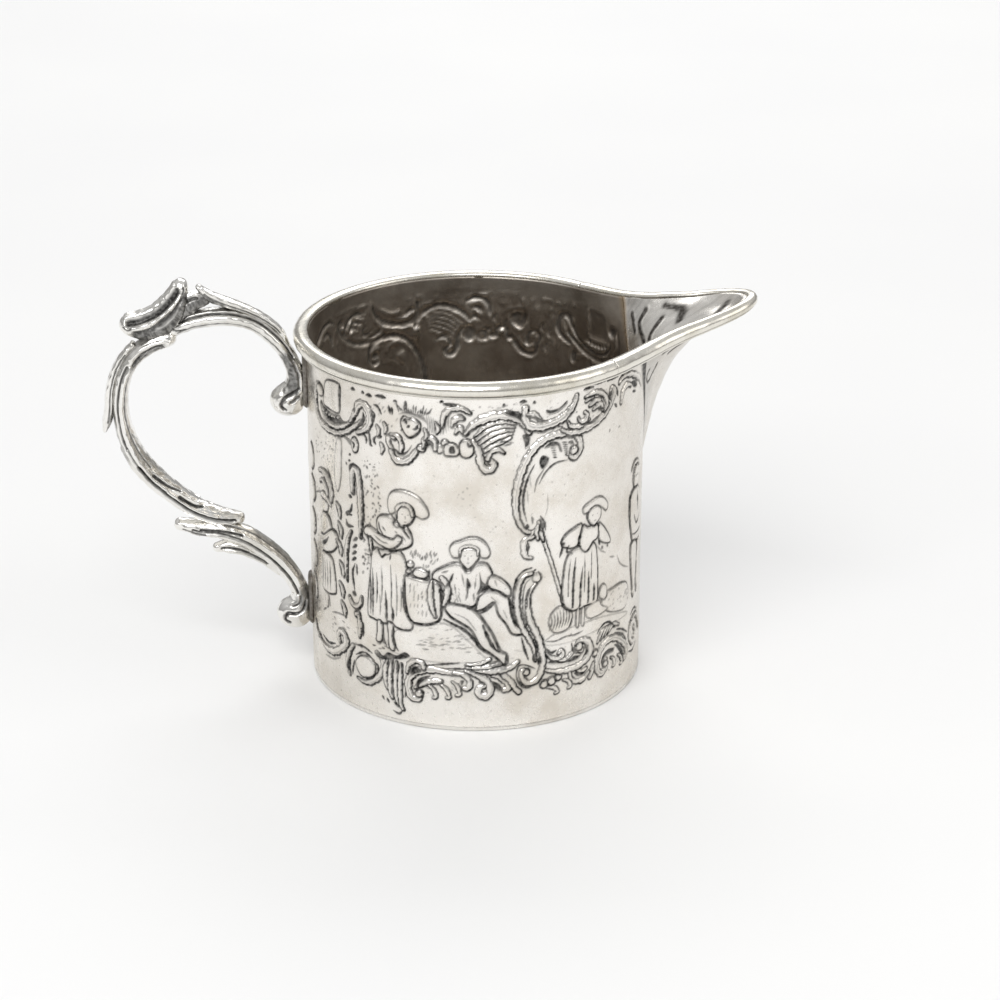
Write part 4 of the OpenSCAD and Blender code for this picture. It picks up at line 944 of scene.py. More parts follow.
def left_edge():
    # leaf column
    band([(220.6, 42), (220.4, 44.4), (221, 46.2), (222.6, 46.3), (223.6, 44.2), (224, 41), (224.2, 38),
          (223.8, 34)], 1.0, ends=(0.6, 0.2), line=0.5, ink=0.9)
    cut([(219.4, 45), (219.6, 46.6), (221.4, 47.1), (223.2, 46.6)], 0.5)
    for p in ([(218.6, 41), (220.2, 40.8)], [(220.2, 39.6), (219.4, 38.2), (217.4, 37.4), (220, 37.5)],
              [(217, 36.2), (217.8, 35.3), (220.6, 35.4)]):
        cut(p, 0.62, 0.16, 0.9)
    band([(219.4, 34.4), (217.6, 32.4), (216.6, 29.6), (216.4, 27), (216.8, 24.6)], 0.7, ends=(0.4, 0.2),
         line=0.4)
    for a, z in ((221.4, 33.4), (221, 32), (220.6, 30.7), (220.4, 29.5)):
        pit([(a - 1.3, z - 0.7), (a, z + 0.2), (a + 1.2, z + 0.1), (a + 0.4, z - 0.5)], 0.18)
    cut([(221.6, 28.4), (221.8, 26.4)], 0.4)
    cut([(220.8, 28.4), (219.6, 26.6), (220.2, 24.4), (220.6, 23.2)], 0.5, 0.16, 0.8)
    pit([(219.2, 22.8), (220.6, 23.2), (221.4, 22.4), (220, 22.2)], 0.18)
    band([(217.8, 21.8), (219.4, 20.6), (221.4, 20.4), (223.2, 21.2), (223.8, 22.6)], 0.7, ends=(0.4, 0.4),
         line=0.4, ink=0.9)
    ball(221.6, 19, 0.6, 0.3, 0.95, 0.5)
    band([(222.4, 18.6), (222.8, 16.8), (222.4, 14.6)], 0.8, h=0.26, ends=(0.8, 0.4))
    cut([(224.4, 17.6), (224.2, 15)], 0.42)
    dots(225.6, 233, 35, 49, 60, 0.17, 0.72)
    dots(223.6, 228, 27, 34, 26, 0.2, 0.72)
    dots(205, 211, 44, 50, 14, 0.14, 0.4)
    # figure with a basket, under a scroll
    band([(199.6, 42.6), (203, 43), (206.6, 42.2), (208.8, 40.2), (208.4, 38.2)], 1.2, ends=(0.3, 0.5),
         core=0.3)
    band([(200.4, 40.6), (203, 41.2), (205.6, 40.2), (206, 38.6)], 0.9, ends=(0.3, 0.5))
    cuts([[(204, 43.6), (207, 43), (209.6, 41.6)], [(206.4, 44), (208.6, 42.6)],
          [(196, 37.6), (200, 38.4), (203, 37.8)]],
         w=0.4, ink=0.7)
    form([(202, 36.4), (202.4, 38), (204.6, 38.4), (206, 37.2), (205.2, 35.8), (203.4, 35.4)], 0.36, 0.9,
         0.34, 0.75)
    form([(200.4, 38), (203, 39.2), (207, 38.4), (208, 37), (204.6, 37.9)], 0.26, 0.7, 0.28, 0.65)
    form([(201.6, 34.6), (204, 35.4), (207, 34.6), (208.4, 32.4), (207, 30.4), (203.4, 30), (201.2, 31.6)],
         0.34, 1.2,
         0.36, 0.8)
    form([(200.4, 30.6), (204, 31.2), (209, 33), (212, 32.2), (211, 30), (207, 28.4), (202.4, 28)], 0.32,
         1.0, 0.42,
         0.85)
    pit([(202, 29.4), (205, 30.4), (207.6, 31.4), (206, 30), (203.4, 29)], 0.18)
    form([(201.4, 27.4), (201, 24), (200.4, 20.6), (204, 20), (208.6, 20.6), (210.2, 21.6), (209.4, 25.6),
          (207.6, 27.6)], 0.34, 1.8, 0.36, 0.75)
    for a in (202.4, 204, 205.8, 207.6):
        cut([(a, 21), (a + 0.3, 24), (a, 26.6)], 0.3, 0.1, 0.65)
    form([(203, 19.8), (202.8, 17.6), (204, 17.2), (204.6, 19.8)], 0.22, 0.6, 0.32, 0.7)
    cuts([[(205.4, 19.4), (205.6, 17.4)], [(207, 16.6), (211, 17.2), (215, 17.4)],
          [(200, 15.6), (203, 16.6)]], w=0.34,
         ink=0.6)
    # leaves and hatching between the figure and the column
    for a, z in ((211.6, 38.6), (212.4, 35), (212, 31.6), (213, 27.6), (212.6, 23.6), (213.4, 20)):
        band([(a, z), (a + 1.6, z - 1), (a + 2, z - 2.6)], 0.8, h=0.26, ends=(0.4, 0.3))
        cut([(a - 0.6, z - 0.6), (a + 0.6, z - 1.8), (a + 0.8, z - 2.8)], 0.34)
    strokes(196, 212, 44.6, 50, 34, 1.1, 0.24, 0.5, 0.6)
    strokes(206, 224, 12.6, 16.4, 22, 1.4, 0.24, 0.55)
    strokes(190, 200, 20, 40, 26, 1.2, 0.26, 0.5, 1.2)
    for a, z, k in ((190.4, 46, 1), (191.2, 40, -1), (190.6, 33.6, 1), (191.4, 27.4, -1), (190.8, 21, 1)):
        band([(a, z), (a + 2.4, z - 1), (a + 3, z - 3.4), (a + 1.2, z - 4.6)][::k], 0.85, h=0.26,
             ends=(0.4, 0.7))
    band([(190.6, 11.6), (193, 9.8), (196, 9.6)], 1.0, ends=(0.4, 0.9))


left_edge()
first_panel()
second_panel()
divider()
rim_scrolls()
foot_scrolls()

# ---- the back repeats the front, then the sheet softens and tarnishes
per_degree = NU / 360
src = np.arange(int(188 * per_degree), int(346 * per_degree))
dst = src - int(175 * per_degree)
height[:, dst] = height[:, src]
dark[:, dst] = dark[:, src]


def blur(v, mm):
    both = np.vstack([v, v[::-1]])
    fz = np.fft.fftfreq(2 * NZ)[:, None] * PPM
    fx = np.fft.fftfreq(NU)[None, :] * PPM
    g = np.exp(-2 * (math.pi * mm) ** 2 * (fx ** 2 + fz ** 2))
    return np.real(np.fft.ifft2(np.fft.fft2(both) * g))[:NZ]


hollow = blur(height, 0.6) - height
dark = np.maximum(dark, np.clip((hollow - 0.03) * 3.5, 0, 0.4))
dark = np.maximum(dark, 0.2 * soft(1.4 * blur(dark, 0.5)))
height = 0.85 * height + 0.5 * blur(height, 1.5)
patchy = blur(rng.normal(0, 1, (NZ, NU)), 0.5)
dark = np.clip(dark * np.clip(1.05 + 0.1 * patchy / patchy.std(), 0.7, 1.2), 0, 1)
pitted = blur(rng.normal(0, 1, (NZ, NU)), 0.09)
pitted /= pitted.std()
dark = np.maximum(dark, 0.34 * soft((pitted - 2.0) * 1.2))
height -= 0.03 * soft((pitted - 1.9) * 1.2)
uneven = blur(rng.normal(0, 1, (NZ, NU)), 2.4)
height += 0.03 * uneven / uneven.std()
pushed = 1.25 * blur(height, 0.16)
ridge = blur(height, 0.14) - blur(height, 0.8)
polish_in = soft(-ridge * 9 - 0.1)
dark_in = np.clip(0.75 * soft(ridge * 6), 0, 0.75) * (1 - polish_in)


def sample(field, az, z):
    x = (az % 360) * per_degree - 0.5
    y = np.clip(z * PPM - 0.5, 0, NZ - 1.001)
    i, j = np.floor(x).astype(int), np.floor(y).astype(int)
    fx, fy = x - i, y - j
    a, b = i % NU, (i + 1) % NU
    return ((field[j, a] * (1 - fx) + field[j, b] * fx) * (1 - fy)
            + (field[j + 1, a] * (1 - fx) + field[j + 1, b] * fx) * fy)


# ------------------------------------------------------------ the wall and the spout
def smooth_through(x, y, level_start=False):
    """Cubic through the points that never overshoots them."""
    x, y = np.array(x, float), np.array(y, float)
    d = np.diff(y) / np.diff(x)
    m = np.zeros(len(x))
    m[1:-1] = np.where(d[:-1] * d[1:] > 0, 2 * d[:-1] * d[1:] / (d[:-1] + d[1:] + 1e-12), 0)
    m[0], m[-1] = (0 if level_start else d[0]), d[-1]

    def f(q):
        q = np.clip(q, x[0], x[-1])
        k = np.clip(np.searchsorted(x, q) - 1, 0, len(x) - 2)
        w = x[k + 1] - x[k]
        t = (q - x[k]) / w
        return (y[k] * (1 + 2 * t) * (1 - t) ** 2 + m[k] * w * t * (1 - t) ** 2
                + y[k + 1] * t * t * (3 - 2 * t) + m[k + 1] * w * t * t * (t - 1))
    return f


# shares of the way round from the spout's keel to its end, closer together near the keel
FROM_KEEL = [0, 0.03, 0.073, 0.122, 0.182, 0.233, 0.304, 0.389, 0.5, 0.647, 0.82, 1]
FLARE = smooth_through(FROM_KEEL,
                       [1, 0.989, 0.935, 0.835, 0.675, 0.53, 0.388, 0.255, 0.149, 0.066, 0.02, 0], True)
LIFT = smooth_through(FROM_KEEL,
                      [1, 0.985, 0.92, 0.81, 0.65, 0.51, 0.4, 0.265, 0.155, 0.066, 0.022, 0], True)
KEEL_DRAWN = 18.8  # how far past the wall the keel reaches as drawn below
keel_reach = (TIP_X - R) / KEEL_DRAWN
KEEL = smooth_through([0, 0.4, 0.64, 0.78, 0.88, 0.95, 1],
                      [R + k * keel_reach for k in (0, 2.4, 5.25, 8.7, 13, 17, KEEL_DRAWN)])
SPREAD = 45.0  # degrees from the keel to the end of the flare, at the top
SEAM = 0.58  # share of the spread at which the spout meets the wall
TOP_H = SHEET_TOP - FOOT_Z


def sheet(az, h):
    """The plain outer surface: its radius and height, from degrees and a share of the spout's height."""
    hh = np.clip(h, 1e-6, 1)
    t = np.clip(np.abs(az) / (SPREAD * hh), 0, 1)
    t = np.where(h <= 0, 1.0, t)
    r = R + (KEEL(hh) - R) * FLARE(t)
    z = FOOT_Z + TOP_H * h + TIP_RISE * LIFT(t) * hh ** 2
    return r, z, t


def wrapped(az):
    return (az + 180) % 360 - 180


WALL_LOW = size("body_wall", 2, 0)
fine_step, open_step = 0.31, 0.62
cols = np.concatenate([np.arange(0, 24, 0.55), np.arange(24, 184, open_step),
                       np.arange(184, 334, fine_step), np.arange(334, 360, 0.55), [360.0]])
cols[0] = 0.0
rows_out = np.linspace(WALL_LOW, SHEET_TOP, 400)
rows_in = np.linspace(WALL_LOW, SHEET_TOP, 180)


def wall_grid(levels, inner):
    w = levels[:, None]
    h = (w - FOOT_Z) / TOP_H
    notch = SEAM * SPREAD * np.clip(h, 0, 1)
    phi = cols[None, :]
    near = np.minimum(phi, 360 - phi)
    push = notch * np.clip(1 - near / 70, 0, 1) ** 2
    az = np.where(phi <= 180, phi + push, phi - push)
    side = wrapped(az)
    r, z, t = sheet(side, h + 0 * az)
    fade = soft((np.where(h > 0, t, 1.0) - SEAM - 0.02) / 0.25) * soft((z - WALL_LOW) / 1.2)
    fade = fade * np.where(z > SHEET_TOP - 2.6, 0.35, 1)
    if inner:
        r = r - WALL + sample(pushed, az, z) * fade
        ox = sample(dark_in, az, z) * fade
        smoke = soft((z - 57) / 7) * 0.3 * (1 - sample(polish_in, az, z))
        ox = np.clip(ox + smoke + 0.3 * soft(1 - (z - 1) / 6), 0, 1)
        worn_in = 1 - 0.55 * sample(polish_in, az, z) * fade
    else:
        r = r + sample(height, az, z) * fade
        ox = sample(dark, az, z) * np.clip(fade * 1.4, 0, 1)
        crease = soft(1.3 - (t - SEAM) / 0.07) * (h > 0.03)
        ox = np.maximum(ox, crease)
        worn_in = np.zeros_like(ox)
        ox = np.maximum(ox, 0.5 * soft(1 - (SHEET_TOP + (z - w) - z + 0.3) / 1.2) * (z > SHEET_TOP - 3))
    q = np.radians(az)
    co = np.stack([r * np.cos(q), r * np.sin(q), z + 0 * az], -1)
    seam = soft(1 - (t - SEAM) / 0.06) * (h > 0.02) * (1.0 if inner else 0.0)
    return co.reshape(-1, 3), ox.ravel(), (seam + 0 * az).ravel(), (worn_in + 0 * az).ravel()


out_co, out_oxide_and_shade, out_so, out_in = wall_grid(rows_out, False)
in_co, in_ox, in_so, in_in = wall_grid(rows_in, True)
nc = len(cols)
n_out, n_in = len(rows_out), len(rows_in)
base_in = n_out * nc
quads = [grid_quads(n_out, nc), grid_quads(n_in, nc, base_in, flip=True)]
j = np.arange(nc - 1)
top_o, top_i = (n_out - 1) * nc, base_in + (n_in - 1) * nc
quads.append(np.stack([top_o + j, top_o + j + 1, top_i + j + 1, top_i + j], -1))
quads.append(np.stack([j, base_in + j, base_in + j + 1, j + 1], -1))
tris = []
for side_col, flip in ((0, False), (nc - 1, True)):
    for i in range(n_in - 1):
        o0 = int(round(i * (n_out - 1) / (n_in - 1)))
        o1 = int(round((i + 1) * (n_out - 1) / (n_in - 1)))
        a, b = base_in + i * nc + side_col, base_in + (i + 1) * nc + side_col
        chain = [k * nc + side_col for k in range(o0, o1 + 1)]
        for k in range(len(chain) - 1):
            tri = (chain[k], chain[k + 1], a)
            tris.append(tri[::-1] if flip else tri)
        tri = (chain[-1], b, a)
        tris.append(tri[::-1] if flip else tri)
wall_co = np.vstack([out_co, in_co])
wall_q, wall_t = np.vstack(quads), np.array(tris)
# below the spout the two ends of the sheet are one, so the doubled points are joined
last_plain_out = int((rows_out <= FOOT_Z).sum())
last_plain_in = int((rows_in <= FOOT_Z).sum())
remap = np.arange(len(wall_co))
remap[np.arange(last_plain_out) * nc + nc - 1] = np.arange(last_plain_out) * nc
remap[base_in + np.arange(last_plain_in) * nc + nc - 1] = base_in + np.arange(last_plain_in) * nc
wall_q, wall_t = remap[wall_q], remap[wall_t]
below = np.isin(wall_t, np.concatenate([np.arange(last_plain_out) * nc,
                                        base_in + np.arange(last_plain_in) * nc])).all(1)
wall_t = wall_t[~below]
used = np.unique(np.concatenate([wall_q.ravel(), wall_t.ravel()]))
back_to = np.zeros(len(wall_co), int)
back_to[used] = np.arange(len(used))
wall_oxide_and_shade = np.concatenate([out_oxide_and_shade, in_ox])[used]
wall_in = np.concatenate([out_in, in_in])[used]
wall_so = np.concatenate([out_so, in_so])[used]
turned = np.degrees(np.arctan2(wall_co[:, 1], wall_co[:, 0]))[used] % 360
# Painted shade round the wall: darker towards the sides that turn away from the camera and the light and
# round the back, least on the front from 245 to 285 degrees; outer face only.
SIDE_SHADE = smooth_through([0, 35, 80, 140, 190, 214, 245, 285, 330, 360],
                     [0.75, 0.5, 0.35, 0.45, 0.75, 0.6, 0.05, 0.05, 0.7, 0.75])
wall_side_shade = SIDE_SHADE(turned) * (wall_in < 0.5)
body_silver = silver("body_silver", (0.965, 0.935, 0.89), (0.80, 0.75, 0.675), (0.022, 0.022, 0.022),
                     0.25, 0.5)[0]
piece("wall", wall_co[used], back_to[wall_q], body_silver, ["body_wall"],
      {"oxide_and_shade": wall_oxide_and_shade, "inside": wall_in, "solder": wall_so * 0.6, "side_shade": wall_side_shade}, back_to[wall_t])

# spout, with a scroll of its own chased on each face
HOOKS = [[(0.10, 0.62), (0.16, 0.70), (0.14, 0.80), (0.08, 0.82)], [(0.22, 0.66), (0.30, 0.76), (0.28, 0.88)],
         [(0.05, 0.42), (0.12, 0.50), (0.13, 0.58)], [(0.34, 0.74), (0.42, 0.84), (0.40, 0.93)],
         [(0.18, 0.86), (0.22, 0.93), (0.30, 0.95)], [(0.46, 0.80), (0.50, 0.90)],
         [(0.28, 0.52), (0.36, 0.60), (0.40, 0.70)], [(0.02, 0.9), (0.06, 0.95)]]
FLANK = [[(0.20, 0.93), (0.26, 0.86), (0.34, 0.83)], [(0.26, 0.94), (0.32, 0.88), (0.40, 0.86)],
         [(0.33, 0.95), (0.38, 0.90), (0.45, 0.88)], [(0.40, 0.95), (0.45, 0.91), (0.51, 0.90)],
         [(0.14, 0.93), (0.19, 0.85), (0.27, 0.80)], [(0.48, 0.94), (0.53, 0.90)],
         [(0.36, 0.76), (0.42, 0.68), (0.50, 0.66), (0.53, 0.72), (0.48, 0.76)]]


FACE_WIDE, FACE_HIGH = 34, 26  # the spout's unrolled face, in millimetres


def near_lines(u, v, lines):
    """Distance in millimetres from places on the spout to a set of lines."""
    d = np.full(u.shape, 9.0)
    for line in lines:
        p = curve([(a * FACE_WIDE, b * FACE_HIGH) for a, b in line], scale=1.0, gap=0.5)
        for a, b in zip(p[:-1], p[1:]):
            w = b - a
            x, y = u * FACE_WIDE - a[0], v * FACE_HIGH - a[1]
            t = np.clip((x * w[0] + y * w[1]) / (w @ w), 0, 1)
            d = np.minimum(d, np.hypot(x - t * w[0], y - t * w[1]))
    return d


s_rows, s_cols = 120, 241
hh = 0.012 + 0.988 * np.linspace(0, 1, s_rows) ** 1.15
tt = np.linspace(-1, 1, s_cols)
tt = SEAM * np.sign(tt) * np.abs(tt) ** 1.25
H2, T2 = np.meshgrid(hh, tt, indexing="ij")
AZ2 = T2 * SPREAD * H2
r2, z2, _ = sheet(AZ2, H2)
side_t = np.abs(T2)
d_out = near_lines(side_t, H2, FLANK)
d_in = near_lines(side_t, H2, HOOKS)
wave = 0.05 * np.sin(AZ2 * 0.9 + H2 * 17) * np.sin(H2 * 41 + T2 * 8)
fade2 = soft((H2 - 0.1) / 0.25) * soft((SEAM - side_t) / 0.08)
line_out, line_in = soft(1.3 - d_out / 0.4), soft(1.3 - d_in / 0.6)
steep = 1 + 0.7 * soft((H2 - 0.7) / 0.3) * soft(1 - side_t / 0.25)
r_out = r2 + (wave - 0.14 * line_out) * fade2
bead = soft(1 - (SEAM - side_t) / 0.035) * soft(H2 / 0.1)
r_in = r2 - WALL * steep + (wave - 0.12 * line_in) * fade2 - 0.12 * bead
edge = soft(1 - (SEAM - side_t) / 0.03)
q2 = np.radians(AZ2)
g_out = np.stack([r_out * np.cos(q2), r_out * np.sin(q2), z2], -1).reshape(-1, 3)
g_in = np.stack([r_in * np.cos(q2), r_in * np.sin(q2), z2], -1).reshape(-1, 3)
# Painted shade on the spout's outer face: darker just under the lip wire and towards its flanks.
lip_and_flank_shade = soft((H2 - 0.84) / 0.14) * 0.5 + 0.22 * soft((side_t - 0.25) / 0.2)
spout_oxide_and_shade = np.clip(np.maximum(0.95 * line_out * fade2, edge) + lip_and_flank_shade, 0, 1)
hammer = soft((H2 - 0.75) / 0.2) * 0.16 * (np.sin(AZ2 * 3.1 + H2 * 30) > 0.4)
ox_in = np.clip(0.97 * line_in * fade2 + hammer + 0.25 * soft(1 - H2 / 0.3) + 0.12 * soft(side_t / 0.5), 0, 1)
n2 = s_rows * s_cols
qs = [grid_quads(s_rows, s_cols), grid_quads(s_rows, s_cols, n2, flip=True)]
j = np.arange(s_cols - 1)
qs.append(np.stack([(s_rows - 1) * s_cols + j, (s_rows - 1) * s_cols + j + 1,
                    n2 + (s_rows - 1) * s_cols + j + 1, n2 + (s_rows - 1) * s_cols + j], -1))
qs.append(np.stack([j, n2 + j, n2 + j + 1, j + 1], -1))
i = np.arange(s_rows - 1) * s_cols
qs.append(np.stack([i, i + s_cols, n2 + i + s_cols, n2 + i], -1))
e = s_cols - 1
qs.append(np.stack([i + e, n2 + i + e, n2 + i + s_cols + e, i + s_cols + e], -1))
spout_silver = silver("spout_silver", (0.93, 0.91, 0.875), (0.80, 0.76, 0.70), (0.05, 0.045, 0.04), 0.24,
                      0.5)[0]
# Painted shade on the spout: side shade 0.75 on its outer face and 0.45 on its inner face.
piece("spout", np.vstack([g_out, g_in]), np.vstack(qs), spout_silver, ["spout"],
      {"oxide_and_shade": np.concatenate([spout_oxide_and_shade.ravel(), ox_in.ravel()]),
       "inside": np.concatenate([np.zeros(n2), (0.55 * soft(1 - (H2 - 0.1) / 0.7)).ravel()]),
       "solder": np.concatenate([np.zeros(n2), (bead * 0.9).ravel()]),
       "side_shade": np.concatenate([np.full(n2, 0.75), np.full(n2, 0.45)])})

# ------------------------------------------------------------ rim wire and lip wire
PROFILE = [(-0.5, -0.6), (-0.55, 0.2), (-0.3, 0.6), (0.3, 0.8), (1, 0.78), (1.6, 0.45), (2, -0.1),
           (2.1, -0.7),
           (1.95, -1.2), (1.6, -1.5), (1.45, -1.55), (1.5, -1.75), (1.35, -2.05), (0.9, -2.2), (0.15, -2.3),
           (-0.05, -1.9)]
ring2d = curve(PROFILE, closed=True, scale=1.0, gap=0.12)[:-1]
wire_line = np.exp(-((ring2d[:, 0] - 1.46) ** 2 + (ring2d[:, 1] + 1.57) ** 2) / 0.03)
wire_line = np.maximum(wire_line, 0.8 * np.exp(-((ring2d[:, 1] + 2.3) ** 2) / 0.05))


def wire(name, azs, node, mat):
    az = np.array(azs, float)
    one = np.ones_like(az)
    r, z, _ = sheet(wrapped(az), one)
    ra = sheet(wrapped(az + 0.05), one)[0]
    rb = sheet(wrapped(az - 0.05), one)[0]
    qa, qb, q = np.radians(az + 0.05), np.radians(az - 0.05), np.radians(az)
    tx, ty = ra * np.cos(qa) - rb * np.cos(qb), ra * np.sin(qa) - rb * np.sin(qb)
    ln = np.hypot(tx, ty)
    nx, ny = ty / ln, -tx / ln
    k = 1 - 0.28 * FLARE(np.clip(np.abs(wrapped(az)) / SPREAD, 0, 1))
    rough = 1 + 0.012 * np.sin(np.radians(az * 23)) + 0.01 * np.sin(np.radians(az * 61))
    co = np.stack([(r * np.cos(q))[:, None] + nx[:, None] * ring2d[None, :, 0] * (k * rough)[:, None],
                   (r * np.sin(q))[:, None] + ny[:, None] * ring2d[None, :, 0] * (k * rough)[:, None],
                   z[:, None] + ring2d[None, :, 1] * k[:, None]], -1)
    m, n = len(az), len(ring2d)
    pts = co.reshape(-1, 3)
    quads = grid_quads(m, n, wrap=True, flip=True)
    c0, c1 = co[0].mean(0), co[-1].mean(0)
    pts = np.vstack([pts, c0, c1])
    tri = end_fans(m, n)
    ox = np.tile(wire_line[None], (m, 1)) * (0.75 + 0.25 * np.sin(np.radians(az * 7)))[:, None]
    piece(name, pts, quads, mat, [node], {"oxide_and_shade": np.concatenate([ox.ravel(), [0.5, 0.5]])}, tri)


rim_silver = silver("rim_silver", (0.84, 0.81, 0.74), (0.60, 0.565, 0.47), (0.035, 0.032, 0.026), 0.24,
                    0.5)[0]
wire("rim_wire", np.linspace(SPREAD, 360 - SPREAD, 541), "rim_wire", rim_silver)
u = np.linspace(-1, 1, 301)
wire("lip_wire", SPREAD * np.sign(u) * np.abs(u) ** 1.5, "lip_wire", rim_silver)

# ------------------------------------------------------------ base
lathe = [(0.0, BASE_TOP), (R * 0.3, BASE_TOP - 0.02), (R * 0.62, BASE_TOP), (R - 1.2, BASE_TOP),
         (R - 0.25, BASE_TOP),
         (R - 0.03, BASE_TOP - 0.06), (R, BASE_TOP - 0.22), (R, 0.3), (R - 0.1, 0.1), (R - 0.35, 0.0),
         (R * 0.9, 0.0),
         (R * 0.6, 0.03), (R * 0.3, 0.04), (0.0, 0.04)]
turn = np.radians(np.arange(0, 360, 1.5))
lr = np.array(lathe)
fine_r = np.concatenate([np.linspace(lr[k], lr[k + 1], 12,
                                     endpoint=False) for k in range(len(lr) - 1)] + [lr[-1:]])
fine_r = fine_r[1:-1]
dent = 0.05 * np.sin(turn * 5 + 1)[:, None] * np.sin(fine_r[None, :, 0] * 0.6) * (fine_r[None, :, 0] < R - 2)
bx = np.cos(turn)[:, None] * fine_r[None, :, 0]
by = np.sin(turn)[:, None] * fine_r[None, :, 0]
bz = np.clip(fine_r[None, :, 1] + np.where(fine_r[None, :, 1] > 0.2, dent, np.abs(dent)), 0, 9)
n_t, n_r = len(turn), len(fine_r)
pts = np.stack([bx, by, bz], -1).transpose(1, 0, 2).reshape(-1, 3)
quads = grid_quads(n_r, n_t, wrap=True, flip=True)
pts = np.vstack([pts, [0, 0, BASE_TOP], [0, 0, 0.04]])
tri = end_fans(n_r, n_t)
inner_face = np.repeat((fine_r[:, 1] > BASE_TOP - 0.05) * 1.0, n_t)
base_silver = silver("base_silver", (0.86, 0.84, 0.80), (0.66, 0.63, 0.58), (0.04, 0.038, 0.035), 0.3, 0.55,
                     1.4)[0]
rim_dark = np.repeat(0.35 * soft((fine_r[:, 0] - R * 0.86) / 3) * (fine_r[:, 1] > BASE_TOP - 0.05), n_t)
piece("base", pts, quads, base_silver, ["base_disc"],
      {"oxide_and_shade": np.concatenate([rim_dark, [0, 0]]), "inside": np.concatenate([inner_face, [1, 0]])}, tri)

# ------------------------------------------------------------ handle castings
HANDLE_DRAWN = 34.6  # how far past the wall the main scroll reaches as drawn below
REACH = (-size("handle_main_scroll", 0, 0) - R) / HANDLE_DRAWN
UPPER = [(22.9, 65.9, 1.4, 1.8), (19.6, 67.3, 1.6, 2.1), (16, 67.9, 1.7, 2.2), (12.5, 67.8, 1.6, 2.2),
         (9, 66.7, 1.5, 2.2), (6, 64.3, 1.5, 2.2), (3.6, 61.3, 1.4, 2.2), (2.0, 57.6, 1.5, 2.2),
         (2.1, 55, 1.8, 2.3),
         (3.4, 52.1, 3.1, 2.5)]
LOWER = [(3.3, 10.8, 3.2, 2.5), (2.1, 13.8, 1.8, 2.4), (3.1, 17.4, 1.6, 2.3), (5.4, 20.9, 1.7, 2.3),
         (8.4, 23.9, 1.7, 2.3), (12, 26.4, 1.7, 2.3), (16, 27.8, 1.6, 2.2), (20, 28.2, 1.4, 2.0),
         (23.6, 28.9, 1.1, 1.6)]
MAIN = [(12.8, 29.8, 1.1, 1.6), (16.2, 30.4, 1.5, 2.1), (20.4, 32.1, 1.6, 2.2), (24.3, 35.1, 1.7, 2.3),
        (27.6, 38.2, 1.8, 2.4), (30.4, 41.8, 1.8, 2.4), (32.2, 45.8, 1.7, 2.4), (33, 49.6, 1.5, 2.4),
        (33.1, 53.4, 1.5, 2.4), (32.2, 57.8, 1.5, 2.4), (30.1, 61.2, 1.6, 2.4), (27.2, 63.3, 1.7, 2.3),
        (24.1, 64.4, 1.6, 2.1)]
THUMB = [(31, 67, 1.6, 2.2), (28.4, 67.2, 1.9, 2.6), (25.4, 68.3, 2.1, 2.8), (22.9, 70.6, 2.1, 2.6),
         (21.5, 73.8, 1.3, 1.9)]
UPPER_RIB = [(18.4, 73.3, 0.6, 0.9), (16.7, 71.7, 1.0, 1.15), (13.4, 70.3, 0.95, 1.35),
             (10.3, 69.1, 0.8, 1.35),
             (6.9, 67.2, 0.65, 1.3), (4.6, 65.2, 0.6, 1.2), (3.2, 62.6, 0.5, 1.1)]
BACK_LEAF = [(36.0, 47.4, 0.5, 0.8), (35.5, 49.2, 0.95, 1.25), (35.05, 51.6, 0.9, 1.4),
             (34.6, 55.5, 0.85, 1.4),
             (33.1, 59.7, 0.75, 1.3), (30.4, 63.2, 0.6, 1.2)]
LOWER_LEAF = [(5.3, 18.1, 0.4, 0.8), (8.2, 21.1, 0.8, 1.25), (11.8, 23.5, 1.2, 1.45), (14.6, 24.3, 1.35, 1.4),
              (17.0, 24.1, 0.9, 1.0)]


def line_through(path, n):
    p = np.array([(-R - d * REACH, z, a, b) for d, z, a, b in path])
    first, last = p[0] - p[1], p[-1] - p[-2]
    first, last = first / np.hypot(*first[:2]), last / np.hypot(*last[:2])
    first[2:], last[2:] = 0, 0
    p = np.vstack([p[0] + first * p[0, 2] * 0.96, p, p[-1] + last * p[-1, 2] * 0.96])
    p = np.vstack([2 * p[0] - p[1], p, 2 * p[-1] - p[-2]])
    seg = []
    for k in range(1, len(p) - 2):
        a, b, c, d = p[k - 1:k + 3]
        t = (np.arange(24) / 24)[:, None]
        seg.append((2 * b + (c - a) * t + (2 * a - 5 * b + 4 * c - d) * t ** 2
                    + (3 * b - a - 3 * c + d) * t ** 3) / 2)
    q = np.vstack(seg + [p[-2][None]])
    run = np.concatenate([[0], np.cumsum(np.linalg.norm(np.diff(q[:, :2], axis=0), axis=1))])
    s = np.linspace(0, run[-1], n)
    return np.stack([np.interp(s, run, q[:, k]) for k in range(4)], -1), run[-1]


